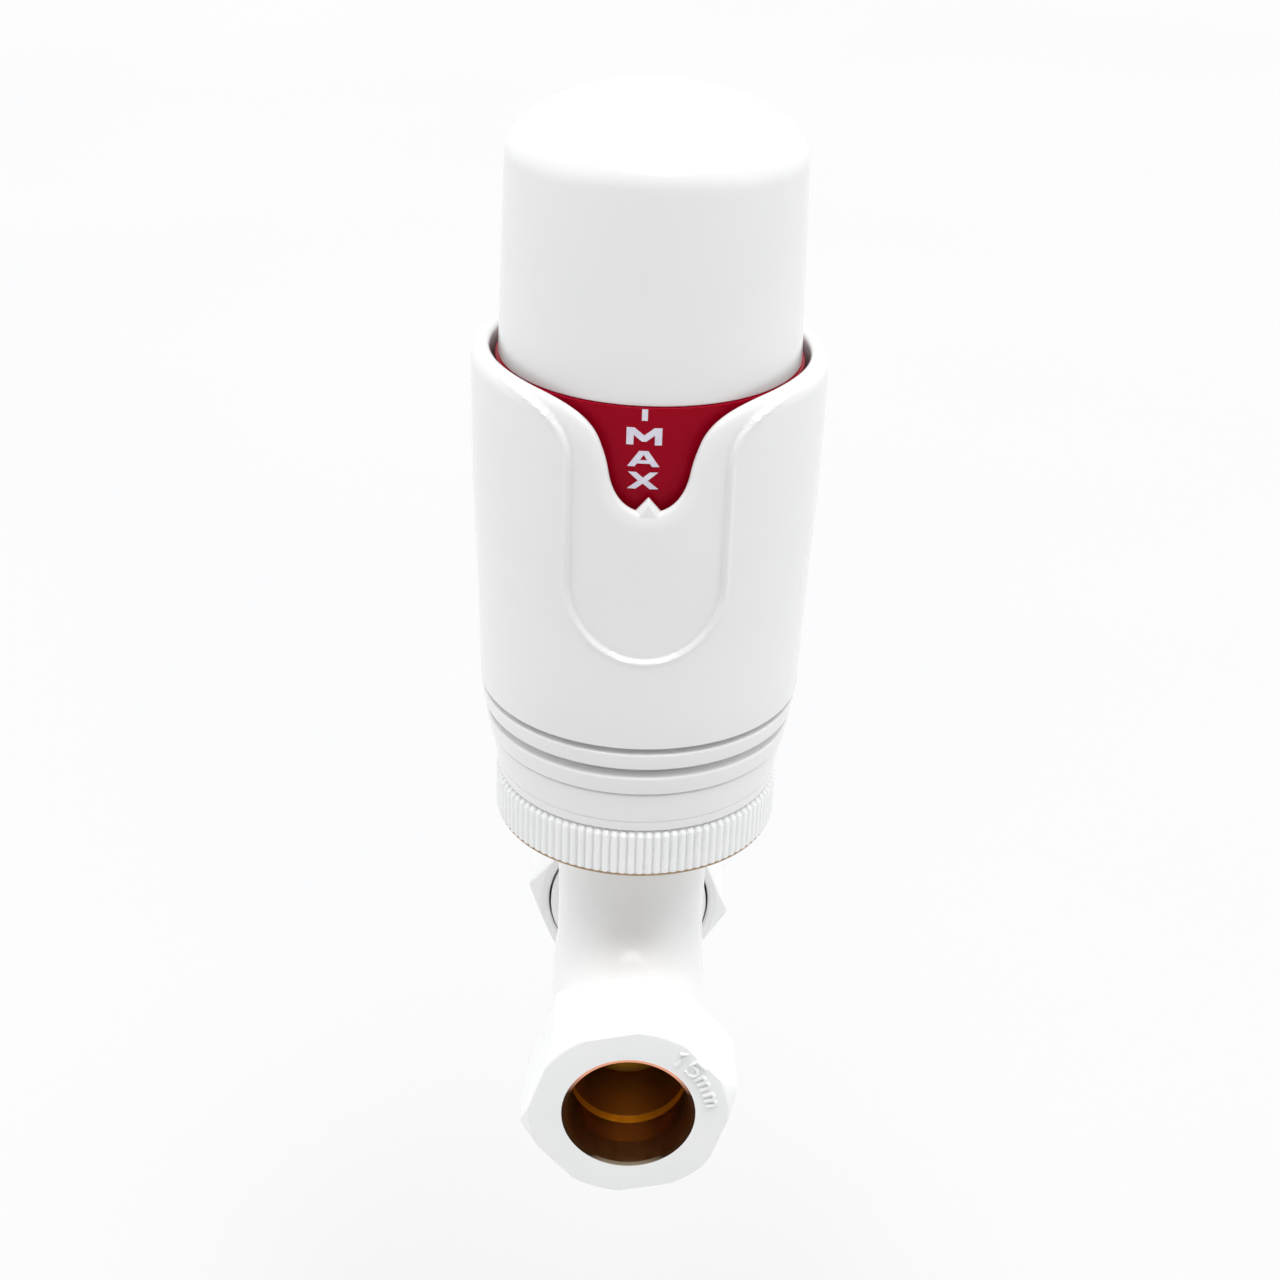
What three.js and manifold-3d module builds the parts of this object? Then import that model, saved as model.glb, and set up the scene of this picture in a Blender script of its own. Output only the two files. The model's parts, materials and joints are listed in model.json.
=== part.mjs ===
// Thermostatic radiator valve, straight pattern, for 15 mm pipe: white head, white painted body.
// Millimetres. The origin is where the head's axis crosses the pipe run. +Z runs up the head,
// the pipe comes in from -Y and the radiator is at +Y.
import * as THREE from "three";
import { mergeVertices } from "three/addons/utils/BufferGeometryUtils.js";
import Module from "manifold-3d";

const wasm = await Module();
wasm.setup();

// ---- driving dimensions -------------------------------------------------------------------
const GAP = 0.3; // clearance between neighbouring pieces
const RUN = 0.2; // clearance of a piece that turns or slides in another
const FINE = 32; // facets round a large turned piece
const MIDDLE = 24; // facets round the body and its nuts
const COARSE = 16; // facets round a small piece

const PIPE_R = 7.65; // hole for 15 mm pipe
const STOP_R = 6.2; // waterway past the pipe stop
const TUBE_R = 9.7; // outside of the body's horizontal tube
const NECK_R = 10.2; // outside of the body's neck
const BODY_THREAD_R = 10.3; // male thread under the compression nut
const UNION_THREAD_R = 11.45; // male thread under the union nut
const CHAMBER_R = 8.1; // bore that takes the valve insert
const SEAT_Z = 1.5; // top of the valve seat
const SEAT_R = 5.0; // hole through the seat
const WEB = 2.5; // thickness of the web that carries the seat

const INLET_FACE = 30.8; // front face of the compression nut, from the head's axis
const INLET_NUT_BACK = 18.6;
const INLET_NUT_FLATS = 25;
const INLET_NUT_TURN = 12; // degrees from X to the nut's first corner
const INLET_NUT_WALL = 3.4; // front wall that traps the olive
const INLET_BEVEL = 0.45; // depth of the bevel round the pipe's hole
const PIPE_STOP = 12.6; // from the head's axis to the pipe stop
const BODY_MOUTH = 23.6; // end of the inlet thread, from the head's axis

const UNION_FRONT = 17.2; // open end of the union nut, from the head's axis
const UNION_BACK = 31.2;
const UNION_FLATS = 26;
const UNION_TURN = 8; // degrees from X to the nut's first corner
const OUTLET_END = 24.4; // end face of the body's outlet
const FLANGE_R = 11.2; // the tail's flange
const FLANGE_END = 28.2; // and its back
const TAIL_BORE_R = 6.6;
const TAIL_THREAD_R = 10.48; // half-inch pipe thread
const TAIL_END = 52;

const COLLAR_Z = 28.5; // underside of the knurled collar
const COLLAR_TOP = 34.7;
const COLLAR_R = 18.6;
const COLLAR_RIBS = 52; // each stands for two of the real fine ribs
const HEAD_THREAD_R = 15; // M30 x 1.5 head connection

const BAND_TOP = 40.8; // joint line between the base and the sleeve
const GROOVE_LOW = 44.4; // middle of the wide groove
const GROOVE_HIGH = 47.8; // middle of the narrow groove
const BASE_SPIGOT_R = 17.3; // spigot of the base that the sleeve sits on
const TOWER_R = 13.6; // outside of the base's threaded tower
const TOWER_TOP = 66;
const SNAP_Z = 62.1; // ring that keeps the cap on the tower
const SNAP_R = 15.5; // skirt of the cap over the tower
const SNAP_TOP = 69;
const TOWER_SKIRT = 59;
const COLLAR_SNAP_Z = 36.6; // ring that keeps the collar on the base
const RIM_Z = 93.3; // top of the sleeve at its sides
const NOTCH_Z = 80; // bottom of the notch that shows the scale
const POCKET_HALF = 9.3; // half width of the shallow pocket round the notch
const POCKET_Z = 70; // centre of the pocket's round bottom
const POCKET_DEEP = 0.45;
const SLEEVE_BORE_R = 19.5;
const SCALE_R = 18.85;
const SCALE_Z = 77.6;
const CAP_Z = 92.4; // lower edge of the cap
const CAP_R = 18.5;
const CAP_TOP = 124.6;
const CAP_DOME = 8; // height of its elliptical dome

const CARRIER_R = 11.6; // thread of the sensor carrier
const CARRIER_Z = 46; // its lower end
const CARRIER_TOP = 104;
const KEY_R = 12.9; // outside of the carrier's four keys
const KEY_WIDTH = 4;
const DRIVE_R = 14.6; // outside of the cap's drive tube
const NECK_TOP = 28;
const FLANGE_TOP = 37; // top of the insert's M30 flange
const INSERT_Z = 10.7; // lower end of the insert
const CIRCLIP_Z = 20.3;
const SPINDLE_R = 1.5;
const SPINDLE_TOP = 42;

// ---- helpers ------------------------------------------------------------------------------
// Turned solid about Z. The profile is a list of [radius, z] that closes on itself or on the axis.
function turned(profile, facets = FINE) {
  const onAxis = profile[0][0] === 0 && profile.at(-1)[0] === 0;
  const ring = onAxis ? profile : [...profile, profile[0]];
  const points = ring.map(([r, z]) => new THREE.Vector2(r, z));
  const loop = onAxis ? points : points.slice(0, -1);
  if (THREE.ShapeUtils.area(loop) < 0) points.reverse();
  return new THREE.LatheGeometry(points, facets).rotateX(Math.PI / 2);
}

// Flat outline pushed along Z between two heights.
function prism(shape, low, high, curveSegments = 12) {
  const options = { depth: high - low, bevelEnabled: false, curveSegments };
  return new THREE.ExtrudeGeometry(shape, options).translate(0, 0, low);
}

function hexPrism(flats, low, high, turnDeg) {
  const corner = flats / 2 / Math.cos(Math.PI / 6);
  const outline = new THREE.Shape();
  for (let i = 0; i < 6; i++) {
    const a = THREE.MathUtils.degToRad(turnDeg + 60 * i);
    const move = i ? "lineTo" : "moveTo";
    outline[move](corner * Math.cos(a), corner * Math.sin(a));
  }
  outline.closePath();
  return prism(outline, low, high);
}

function box(x, y, z, cx, cy, cz) {
  return new THREE.BoxGeometry(x, y, z).translate(cx, cy, cz);
}

function rod(radius, low, high, facets = COARSE) {
  return turned([[0, low], [radius, low], [radius, high], [0, high]], facets);
}

function tube(inner, outer, low, high, facets = FINE) {
  return turned([[inner, low], [outer, low], [outer, high], [inner, high]], facets);
}

// Closed mesh to manifold solid and back.
function solid(geometry) {
  const bare = geometry.index ? geometry.toNonIndexed() : geometry.clone();
  bare.deleteAttribute("normal");
  bare.deleteAttribute("uv");
  const merged = mergeVertices(bare, 1e-4);
  const mesh = new wasm.Mesh({
    numProp: 3,
    vertProperties: merged.attributes.position.array,
    triVerts: new Uint32Array(merged.index.array),
  });
  return new wasm.Manifold(mesh);
}

function geometryOf(manifold) {
  const { vertProperties, triVerts, numProp } = manifold.getMesh();
  const position = new Float32Array((vertProperties.length / numProp) * 3);
  for (let i = 0; i < position.length / 3; i++)
    for (let k = 0; k < 3; k++) position[3 * i + k] = vertProperties[numProp * i + k];
  const geometry = new THREE.BufferGeometry();
  geometry.setAttribute("position", new THREE.BufferAttribute(position, 3));
  geometry.setIndex(new THREE.BufferAttribute(new Uint32Array(triVerts), 1));
  return geometry.toNonIndexed();
}

// Joins the first list of geometries and cuts the second list away.
function carve(added, cut = []) {
  let body = solid(added[0]);
  for (const g of added.slice(1)) body = body.add(solid(g));
  for (const g of cut) body = body.subtract(solid(g));
  return geometryOf(body);
}

function overlap(a, b) {
  return geometryOf(solid(a).intersect(solid(b)));
}

// C-shaped flat spring ring with a gap that faces +X.
function snapRing(inner, outer, low, high, gapDeg) {
  const half = THREE.MathUtils.degToRad(gapDeg / 2);
  const outline = new THREE.Shape();
  outline.absarc(0, 0, outer, half, 2 * Math.PI - half, false);
  outline.absarc(0, 0, inner, 2 * Math.PI - half, half, true);
  outline.closePath();
  return prism(outline, low, high, 14);
}

// Ring of round section.
function roundRing(ringR, wireR, z, facets = COARSE) {
  return new THREE.TorusGeometry(ringR, wireR, 6, facets).translate(0, 0, z);
}

// Helical spring with flat-lying end turns.
class SpringLine extends THREE.Curve {
  constructor(radius, low, high, turns, wire) {
    super();
    Object.assign(this, { radius, low, high, turns, wire });
  }
  getPoint(t, target = new THREE.Vector3()) {
    const angle = 2 * Math.PI * this.turns * t;
    const dead = 1 / this.turns;
    const climb = THREE.MathUtils.clamp((t - dead) / (1 - 2 * dead), 0, 1);
    const rise = THREE.MathUtils.smootherstep(climb, 0, 1) * 0.25 + climb * 0.75;
    const endRise = this.wire * 0.55 * (Math.min(t, dead) - Math.min(1 - t, dead)) / dead;
    const mid = this.low + (this.high - this.low) * rise;
    return target.set(this.radius * Math.cos(angle), this.radius * Math.sin(angle), mid + endRise);
  }
}

function coilSpring(radius, wire, low, high, turns) {
  const section = new THREE.Shape();
  section.absarc(0, 0, wire / 2, 0, 2 * Math.PI, false);
  const line = new SpringLine(radius, low + 1.1 * wire, high - 1.1 * wire, turns, wire);
  const steps = Math.round(turns * 10);
  const options = { steps, extrudePath: line, curveSegments: 3, bevelEnabled: false };
  return new THREE.ExtrudeGeometry(section, options);
}

// ---- materials ----------------------------------------------------------------------------
function finish(color, roughness, metalness) {
  return new THREE.MeshStandardMaterial({ color, roughness, metalness });
}
const WHITE_PLASTIC = finish(0xeeeeec, 0.22, 0);
const WHITE_PAINT = finish(0xe9ebeb, 0.3, 0);
const RED_PLASTIC = finish(0x8c0014, 0.28, 0);
const INNER_PLASTIC = finish(0xd8d6cf, 0.5, 0);
const BRASS = finish(0xb08a4a, 0.3, 1);
const STEEL = finish(0xb9bcc0, 0.28, 1);
const SENSOR_METAL = finish(0xc9cbcd, 0.35, 1);
const RUBBER = finish(0x1c1c1d, 0.7, 0);
const SEAL_RED = finish(0x7a2a20, 0.6, 0);

// ---- scene graph --------------------------------------------------------------------------
const valve = new THREE.Group();
const head = new THREE.Group();
const inlet = new THREE.Group(); // its own +Z runs out towards the pipe
const outlet = new THREE.Group(); // its own +Z runs out towards the radiator
inlet.rotation.x = Math.PI / 2;
outlet.rotation.x = -Math.PI / 2;
valve.add(head, inlet, outlet);

function place(group, name, geometry, material) {
  const mesh = new THREE.Mesh(geometry, material);
  mesh.name = name;
  group.add(mesh);
}

// ---- head: outside ------------------------------------------------------------------------

// Domed cap that the hand turns. A tube inside it drives the sensor carrier through four slots
// and snaps over the base's tower.
function cap() {
  const wall = 1.8;
  const topR = CAP_R - 0.6; // the wall narrows a little towards the dome
  const domeSteps = 9;
  const ceiling = CAP_TOP - 5.8;
  const profile = [];
  for (let i = 0; i <= domeSteps; i++) {
    const a = (i / domeSteps) * Math.PI / 2;
    profile.push([topR * Math.sin(a), CAP_TOP - CAP_DOME * (1 - Math.cos(a))]);
  }
  profile.push([CAP_R, CAP_Z + 0.3], [CAP_R - 0.3, CAP_Z], [CAP_R - wall, CAP_Z]);
  profile.push([topR - wall, ceiling - 3], [topR - wall - 1.5, ceiling]);
  profile.push([DRIVE_R, ceiling], [DRIVE_R, SNAP_TOP], [SNAP_R, SNAP_TOP], [SNAP_R, TOWER_SKIRT]);
  profile.push([TOWER_R + GAP, TOWER_SKIRT], [TOWER_R + GAP, SNAP_Z - 1], [SNAP_R - 0.7, SNAP_Z - 1]);
  profile.push([SNAP_R - 0.7, SNAP_Z + 1], [TOWER_R + GAP, SNAP_Z + 1], [TOWER_R + GAP, TOWER_TOP + 2]);
  profile.push([CARRIER_R + GAP, TOWER_TOP + 2], [CARRIER_R + GAP, ceiling], [0, ceiling]);
  const bore = rod(KEY_R + 2 * GAP, TOWER_TOP + 1, CARRIER_TOP + 3, FINE);
  const keyways = [0, 90].map((deg) => {
    const slot = box(4 * KEY_R, KEY_WIDTH + 2 * GAP, 100, 0, 0, 90);
    return overlap(slot.rotateZ(THREE.MathUtils.degToRad(deg)), bore);
  });
  return carve([turned(profile)], keyways);
}

// Printed ring that shows through the notch and turns with the cap.
function scaleRing() {
  const spigot = CAP_R - 1.8 - GAP;
  return turned([
    [SCALE_R - 1.2, SCALE_Z],
    [SCALE_R, SCALE_Z],
    [SCALE_R, CAP_Z - GAP],
    [spigot, CAP_Z - GAP],
    [spigot - 0.1, CAP_Z + 5.6],
    [spigot - 1.1, CAP_Z + 5.6],
    [spigot - 1.1, CAP_Z - 1.6],
    [SCALE_R - 1.2, CAP_Z - 1.6],
  ]);
}

// Right half of the notch's edge, from its bottom to beyond the rim.
function notchEdge(outline) {
  outline.bezierCurveTo(2.6, NOTCH_Z, 4.1, NOTCH_Z + 1.9, 4.5, NOTCH_Z + 4.6);
  outline.quadraticCurveTo(4.75, NOTCH_Z + 5.9, 5.4, NOTCH_Z + 7.6);
  outline.bezierCurveTo(6.1, NOTCH_Z + 10.4, 8.4, NOTCH_Z + 12.7, 13, RIM_Z - 0.3);
  outline.lineTo(17, RIM_Z + 0.01);
}

// Mirrors a right half outline, given by its points, into a closed shape.
function mirrored(half) {
  const left = half.filter((p) => p.x > 1e-6).map((p) => new THREE.Vector2(-p.x, p.y));
  return new THREE.Shape([...half, ...left.reverse()]);
}

// Everything above the notch's edge, as a block that runs front to back.
function notchBlock() {
  const half = new THREE.Path().moveTo(0, NOTCH_Z);
  notchEdge(half);
  half.lineTo(17, RIM_Z + 9);
  half.lineTo(0, RIM_Z + 9);
  return prism(mirrored(half.getPoints(4)), -30, 30).rotateX(Math.PI / 2);
}

// Shield outline of the shallow pocket round the notch.
function pocketBlock() {
  const half = new THREE.Path().moveTo(0, POCKET_Z - POCKET_HALF);
  half.absarc(0, POCKET_Z, POCKET_HALF, -Math.PI / 2, 0, false);
  half.lineTo(POCKET_HALF, NOTCH_Z + 5);
  half.bezierCurveTo(POCKET_HALF, NOTCH_Z + 10, 12, RIM_Z - 1.2, 16.4, RIM_Z - 0.35);
  half.lineTo(17, RIM_Z + 9);
  half.lineTo(0, RIM_Z + 9);
  return prism(mirrored(half.getPoints(5)), -30, 30).rotateX(Math.PI / 2);
}

// Small triangle at the notch's bottom that points at the scale.
function pointer() {
  const outline = new THREE.Shape();
  outline.moveTo(-2.4, NOTCH_Z - 0.8);
  outline.lineTo(2.4, NOTCH_Z - 0.8);
  outline.lineTo(0, NOTCH_Z + 1.8);
  outline.closePath();
  return prism(outline, SLEEVE_BORE_R + 0.4, SLEEVE_BORE_R + 1.9).rotateX(Math.PI / 2);
}

// Fixed outer sleeve, with two grooves, a notch front and back and a shallow pocket round each.
function outerSleeve() {
  const skin = [[20.6, GROOVE_HIGH + 0.45], [21.1, 64], [21.6, 75], [21.8, 88], [21.75, RIM_Z - 1.2]];
  const body = turned([
    [BASE_SPIGOT_R + GAP, BAND_TOP + GAP],
    [19.45, BAND_TOP + GAP],
    [19.95, GROOVE_LOW - 0.65],
    [18.9, GROOVE_LOW - 0.65],
    [18.9, GROOVE_LOW + 0.65],
    [20.1, GROOVE_LOW + 0.65],
    [20.5, GROOVE_HIGH - 0.45],
    [19.6, GROOVE_HIGH - 0.45],
    [19.6, GROOVE_HIGH + 0.45],
    ...skin,
    [21.1, RIM_Z - 0.25],
    [20.5, RIM_Z],
    [SLEEVE_BORE_R, RIM_Z - 0.3],
    [SLEEVE_BORE_R, 52],
    [BASE_SPIGOT_R + GAP, 50.5],
  ]);
  const shell = turned([
    ...skin.map(([r, z]) => [r - POCKET_DEEP, z]),
    [20.6, RIM_Z + 1],
    [30, RIM_Z + 1],
    [30, GROOVE_HIGH + 0.45],
  ]);
  const pocket = overlap(pocketBlock(), shell);
  return carve([carve([body], [pocket, notchBlock()]), pointer()]);
}

// Brass collar with an M30 thread inside and fine ribs outside, held to the base by a snap ring.
function knurledCollar() {
  const rib = new THREE.Shape();
  for (let i = 0; i < 2 * COLLAR_RIBS; i++) {
    const a = (i / COLLAR_RIBS) * Math.PI;
    const r = i % 2 ? COLLAR_R - 0.35 : COLLAR_R;
    const move = i ? "lineTo" : "moveTo";
    rib[move](r * Math.cos(a), r * Math.sin(a));
  }
  rib.closePath();
  const ribbed = prism(rib, COLLAR_Z, COLLAR_TOP);
  const core = turned([
    [0, COLLAR_Z - 1],
    [30, COLLAR_Z - 1],
    [30, COLLAR_TOP],
    [16.9, COLLAR_TOP],
    [16.9, COLLAR_SNAP_Z - 0.6],
    [16.2, COLLAR_SNAP_Z - 0.6],
    [16.2, COLLAR_SNAP_Z + 0.6],
    [16.9, COLLAR_SNAP_Z + 0.6],
    [16.9, 38.7],
    [0, 38.7],
  ]);
  const neck = overlap(core, rod(17.2, COLLAR_TOP - 0.5, 38.7, FINE));
  return carve([ribbed, neck], [rod(HEAD_THREAD_R + 0.2, COLLAR_Z - 1, 40, FINE)]);
}

// ---- head: inside -------------------------------------------------------------------------

// Fixed base: smooth band outside, spigot for the sleeve, threaded tower for the sensor carrier.
function headBase() {
  return turned([
    [17.3, COLLAR_TOP + GAP],
    [18.35, COLLAR_TOP + GAP],
    [19.15, BAND_TOP],
    [BASE_SPIGOT_R, BAND_TOP],
    [BASE_SPIGOT_R, 50],
    [BASE_SPIGOT_R - 1.5, 50],
    [BASE_SPIGOT_R - 1.5, 42],
    [TOWER_R, 42],
    [TOWER_R, SNAP_Z - 0.9],
    [TOWER_R - 0.75, SNAP_Z - 0.9],
    [TOWER_R - 0.75, SNAP_Z + 0.9],
    [TOWER_R, SNAP_Z + 0.9],
    [TOWER_R, TOWER_TOP],
    [CARRIER_R + GAP, TOWER_TOP],
    [CARRIER_R + GAP, 42],
    [6.9, 42],
    [6.9, FLANGE_TOP + GAP],
    [HEAD_THREAD_R - 0.1, FLANGE_TOP + GAP],
    [HEAD_THREAD_R - 0.1, 39.1],
    [17.3, 39.1],
    [17.3, COLLAR_SNAP_Z + 0.7],
    [17.85, COLLAR_SNAP_Z + 0.7],
    [17.85, COLLAR_SNAP_Z - 0.7],
    [17.3, COLLAR_SNAP_Z - 0.7],
  ]);
}

// Cup with an outside thread and four keys: it carries the sensor and climbs as the cap turns.
function sensorCarrier() {
  const cup = turned([
    [4, CARRIER_Z],
    [CARRIER_R, CARRIER_Z],
    [CARRIER_R, CARRIER_TOP],
    [10.1, CARRIER_TOP],
    [10.1, CARRIER_Z + 2.2],
    [4, CARRIER_Z + 2.2],
  ]);
  const keys = [0, 90, 180, 270].map((deg) =>
    box(KEY_R - 10.8, KEY_WIDTH, 14, (KEY_R + 10.8) / 2, 0, CARRIER_TOP - 9).rotateZ(
      THREE.MathUtils.degToRad(deg),
    ),
  );
  return carve([cup, ...keys]);
}

function sensorCapsule() {
  const low = CARRIER_Z + 2.2 + GAP;
  return turned([
    [0, low + 8],
    [3.3, low + 8],
    [3.3, low],
    [9.8, low],
    [9.8, low + 2],
    [9.2, low + 2.4],
    [9.2, low + 26],
    [8.2, low + 27.4],
    [5.6, low + 27.8],
    [5, low + 31],
    [0, low + 31.4],
  ], COARSE);
}

function sensorPlunger() {
  const low = SPINDLE_TOP + GAP;
  return turned([
    [0, low],
    [2.6, low],
    [3, low + 0.5],
    [3, CARRIER_Z + 9],
    [0, CARRIER_Z + 9.6],
  ], COARSE);
}

function springRetainer() {
  return tube(4.2, 9.8, CARRIER_TOP - 5, CARRIER_TOP - 3, COARSE);
}

// ---- valve insert -------------------------------------------------------------------------

// Brass insert screwed into the neck. Its M30 flange takes the head's collar.
function bonnet() {
  return turned([
    [5.4, INSERT_Z],
    [7.8, INSERT_Z],
    [7.8, 12.2],
    [6.55, 12.2],
    [6.55, 14.3],
    [7.8, 14.3],
    [7.8, NECK_TOP + GAP],
    [HEAD_THREAD_R - 0.6, NECK_TOP + GAP],
    [HEAD_THREAD_R - 0.1, NECK_TOP + 0.9],
    [HEAD_THREAD_R - 0.1, FLANGE_TOP - 0.6],
    [HEAD_THREAD_R - 0.6, FLANGE_TOP],
    [4.3, FLANGE_TOP],
    [4.3, 25.4],
    [SPINDLE_R + RUN, 25.4],
    [SPINDLE_R + RUN, 23],
    [5.4, 23],
  ]);
}

function glandNut() {
  const hexTop = FLANGE_TOP + GAP + 1.4;
  const hex = hexPrism(10, FLANGE_TOP + GAP, hexTop, 0);
  const shank = rod(4, 28.4, FLANGE_TOP + GAP + 0.1);
  return carve([hex, shank], [rod(SPINDLE_R + RUN, 20, 50)]);
}

function spindle() {
  return turned([
    [0, 8.7],
    [SPINDLE_R, 8.7],
    [SPINDLE_R, CIRCLIP_Z - 0.3],
    [1.1, CIRCLIP_Z - 0.3],
    [1.1, CIRCLIP_Z + 1.1],
    [SPINDLE_R, CIRCLIP_Z + 1.1],
    [SPINDLE_R, SPINDLE_TOP - 0.4],
    [1.1, SPINDLE_TOP],
    [0, SPINDLE_TOP],
  ], 16);
}

// Brass cup under the spindle that holds the rubber disc.
function discHolder() {
  return turned([
    [0, 8.3],
    [SPINDLE_R + RUN, 8.3],
    [SPINDLE_R + RUN, 10.3],
    [2.9, 10.3],
    [2.9, 8.2],
    [6.4, 8.2],
    [6.4, 6.8],
    [SPINDLE_R + RUN, 6.8],
    [SPINDLE_R + RUN, 7.8],
    [0, 7.8],
  ], COARSE);
}

function discRivet() {
  return turned([[0, 3.4], [2.8, 3.4], [3.2, 3.8], [3.2, 4.4], [1.5, 4.4], [1.5, 7.5], [0, 7.5]], COARSE);
}

// ---- body ---------------------------------------------------------------------------------

// Straight-pattern body: the inlet runs in under the seat and the outlet leaves above it.
function valveBody() {
  const along = (geometry, side) => geometry.rotateX((side * Math.PI) / 2);
  const neck = turned([
    [0, -10.4],
    [5, -10],
    [8.4, -8],
    [10, -4],
    [NECK_R - 0.2, 14],
    [NECK_R, 23],
    [10.9, 26.4],
    [10.9, NECK_TOP],
    [0, NECK_TOP],
  ]);
  const run = turned([
    [0, -17.6],
    [TUBE_R, -17.6],
    [TUBE_R, 17.6],
    [0, 17.6],
  ], MIDDLE);
  const inletBoss = turned([
    [0, 17],
    [TUBE_R, 17],
    [TUBE_R, 18.2],
    [BODY_THREAD_R, 19],
    [BODY_THREAD_R, BODY_MOUTH],
    [0, BODY_MOUTH],
  ], MIDDLE);
  const outletBoss = turned([
    [0, 17],
    [TUBE_R, 17],
    [TUBE_R, 18.2],
    [UNION_THREAD_R, 18.9],
    [UNION_THREAD_R, OUTLET_END],
    [0, OUTLET_END],
  ], MIDDLE);
  const added = [neck, along(run, 1), along(inletBoss, 1), along(outletBoss, -1)];

  const socket = turned([
    [0, 9.5],
    [STOP_R, 9.5],
    [STOP_R, PIPE_STOP],
    [PIPE_R, PIPE_STOP],
    [PIPE_R, BODY_MOUTH - 1.6],
    [9.2, BODY_MOUTH],
    [9.2, BODY_MOUTH + 1],
    [0, BODY_MOUTH + 1],
  ], COARSE);
  const under = overlap(along(rod(STOP_R, 0, 9.6), 1), box(20, 20, 10, 0, -5, SEAT_Z - WEB - 5));
  const over = overlap(along(rod(STOP_R, 0, 9.6), -1), box(20, 20, 10, 0, 5, SEAT_Z + 5));
  const cut = [
    rod(CHAMBER_R, SEAT_Z, NECK_TOP + 1, FINE),
    rod(SEAT_R, SEAT_Z - WEB - 0.5, SEAT_Z + 0.5),
    rod(STOP_R, -7.2, SEAT_Z - WEB),
    along(socket, 1),
    under,
    over,
    along(rod(STOP_R, 9.5, OUTLET_END + 1), -1),
  ];
  return carve(added, cut);
}

// Hexagon with its corners turned off at both faces.
function hexBlank(flats, low, high, turnDeg, lowFaceR, highFaceR, lowDeep, highDeep) {
  const corner = flats / 2 / Math.cos(Math.PI / 6) + 0.1;
  const turnedOff = turned([
    [0, low],
    [lowFaceR, low],
    [corner, low + lowDeep],
    [corner, high - highDeep],
    [highFaceR, high],
    [0, high],
  ], MIDDLE);
  return overlap(hexPrism(flats, low - 1, high + 1, turnDeg), turnedOff);
}

function compressionNut() {
  const seat = INLET_FACE - INLET_NUT_WALL;
  const blank = hexBlank(INLET_NUT_FLATS, INLET_NUT_BACK, INLET_FACE, INLET_NUT_TURN, 12.9, 13, 0.9, 0.9);
  const bore = turned([
    [0, INLET_NUT_BACK - 1],
    [BODY_THREAD_R + GAP, INLET_NUT_BACK - 1],
    [BODY_THREAD_R + GAP, seat - 2.2],
    [9.4, seat - 1.2],
    [PIPE_R, seat + 0.2],
    [PIPE_R, INLET_FACE - INLET_BEVEL],
    [PIPE_R + 1, INLET_FACE],
    [PIPE_R + 2, INLET_FACE + 1],
    [0, INLET_FACE + 1],
  ], MIDDLE);
  return carve([blank], [bore]);
}

function olive() {
  const mid = 25;
  return turned([
    [PIPE_R, mid - 1.9],
    [8, mid - 1.9],
    [8.9, mid - 0.6],
    [8.9, mid + 0.6],
    [8.1, mid + 1.9],
    [PIPE_R, mid + 1.9],
  ], MIDDLE);
}

function unionNut() {
  const blank = hexBlank(UNION_FLATS, UNION_FRONT, UNION_BACK, UNION_TURN, 13.9, 13.4, 0.8, 1);
  const bore = turned([
    [0, UNION_FRONT - 1],
    [UNION_THREAD_R + 2.2, UNION_FRONT - 1],
    [UNION_THREAD_R + 1.2, UNION_FRONT],
    [UNION_THREAD_R + GAP, UNION_FRONT + 0.9],
    [UNION_THREAD_R + GAP, FLANGE_END + GAP],
    [TAIL_THREAD_R + RUN, FLANGE_END + GAP],
    [TAIL_THREAD_R + RUN, UNION_BACK + 1],
    [0, UNION_BACK + 1],
  ], MIDDLE);
  return carve([blank], [bore]);
}

function unionGasket() {
  return tube(7.4, 10.9, OUTLET_END + GAP, OUTLET_END + GAP + 1.1, MIDDLE);
}

// Radiator tail: flange held by the union nut, plain neck, then half-inch thread.
function tail() {
  return turned([
    [TAIL_BORE_R, OUTLET_END + 2 * GAP + 1.1],
    [FLANGE_R, OUTLET_END + 2 * GAP + 1.1],
    [FLANGE_R, FLANGE_END],
    [9.6, FLANGE_END],
    [9.6, 35.2],
    [TAIL_THREAD_R - 0.6, 35.2],
    [TAIL_THREAD_R, 35.9],
    [TAIL_THREAD_R - 0.15, TAIL_END - 1],
    [TAIL_THREAD_R - 1, TAIL_END],
    [TAIL_BORE_R, TAIL_END],
  ], MIDDLE);
}

// ---- assembly -----------------------------------------------------------------------------
place(head, "cap", cap(), WHITE_PLASTIC);
place(head, "scale_ring", scaleRing(), RED_PLASTIC);
place(head, "outer_sleeve", outerSleeve(), WHITE_PLASTIC);
place(head, "head_base", headBase(), WHITE_PLASTIC);
place(head, "cap_snap_ring", snapRing(TOWER_R - 0.5, TOWER_R + 1, SNAP_Z - 0.6, SNAP_Z + 0.6, 40), STEEL);
place(head, "sensor_carrier", sensorCarrier(), INNER_PLASTIC);
place(head, "sensor_capsule", sensorCapsule(), SENSOR_METAL);
place(head, "sensor_plunger", sensorPlunger(), STEEL);
place(head, "overload_spring", coilSpring(7.6, 1.4, CARRIER_Z + 30.8, CARRIER_TOP - 5.3, 4.5), STEEL);
place(head, "spring_retainer", springRetainer(), INNER_PLASTIC);
place(head, "knurled_collar", knurledCollar(), WHITE_PAINT);
const clipLow = COLLAR_SNAP_Z - 0.4;
place(head, "collar_snap_ring", snapRing(16.4, 17.6, clipLow, clipLow + 0.8, 30), STEEL);

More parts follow.
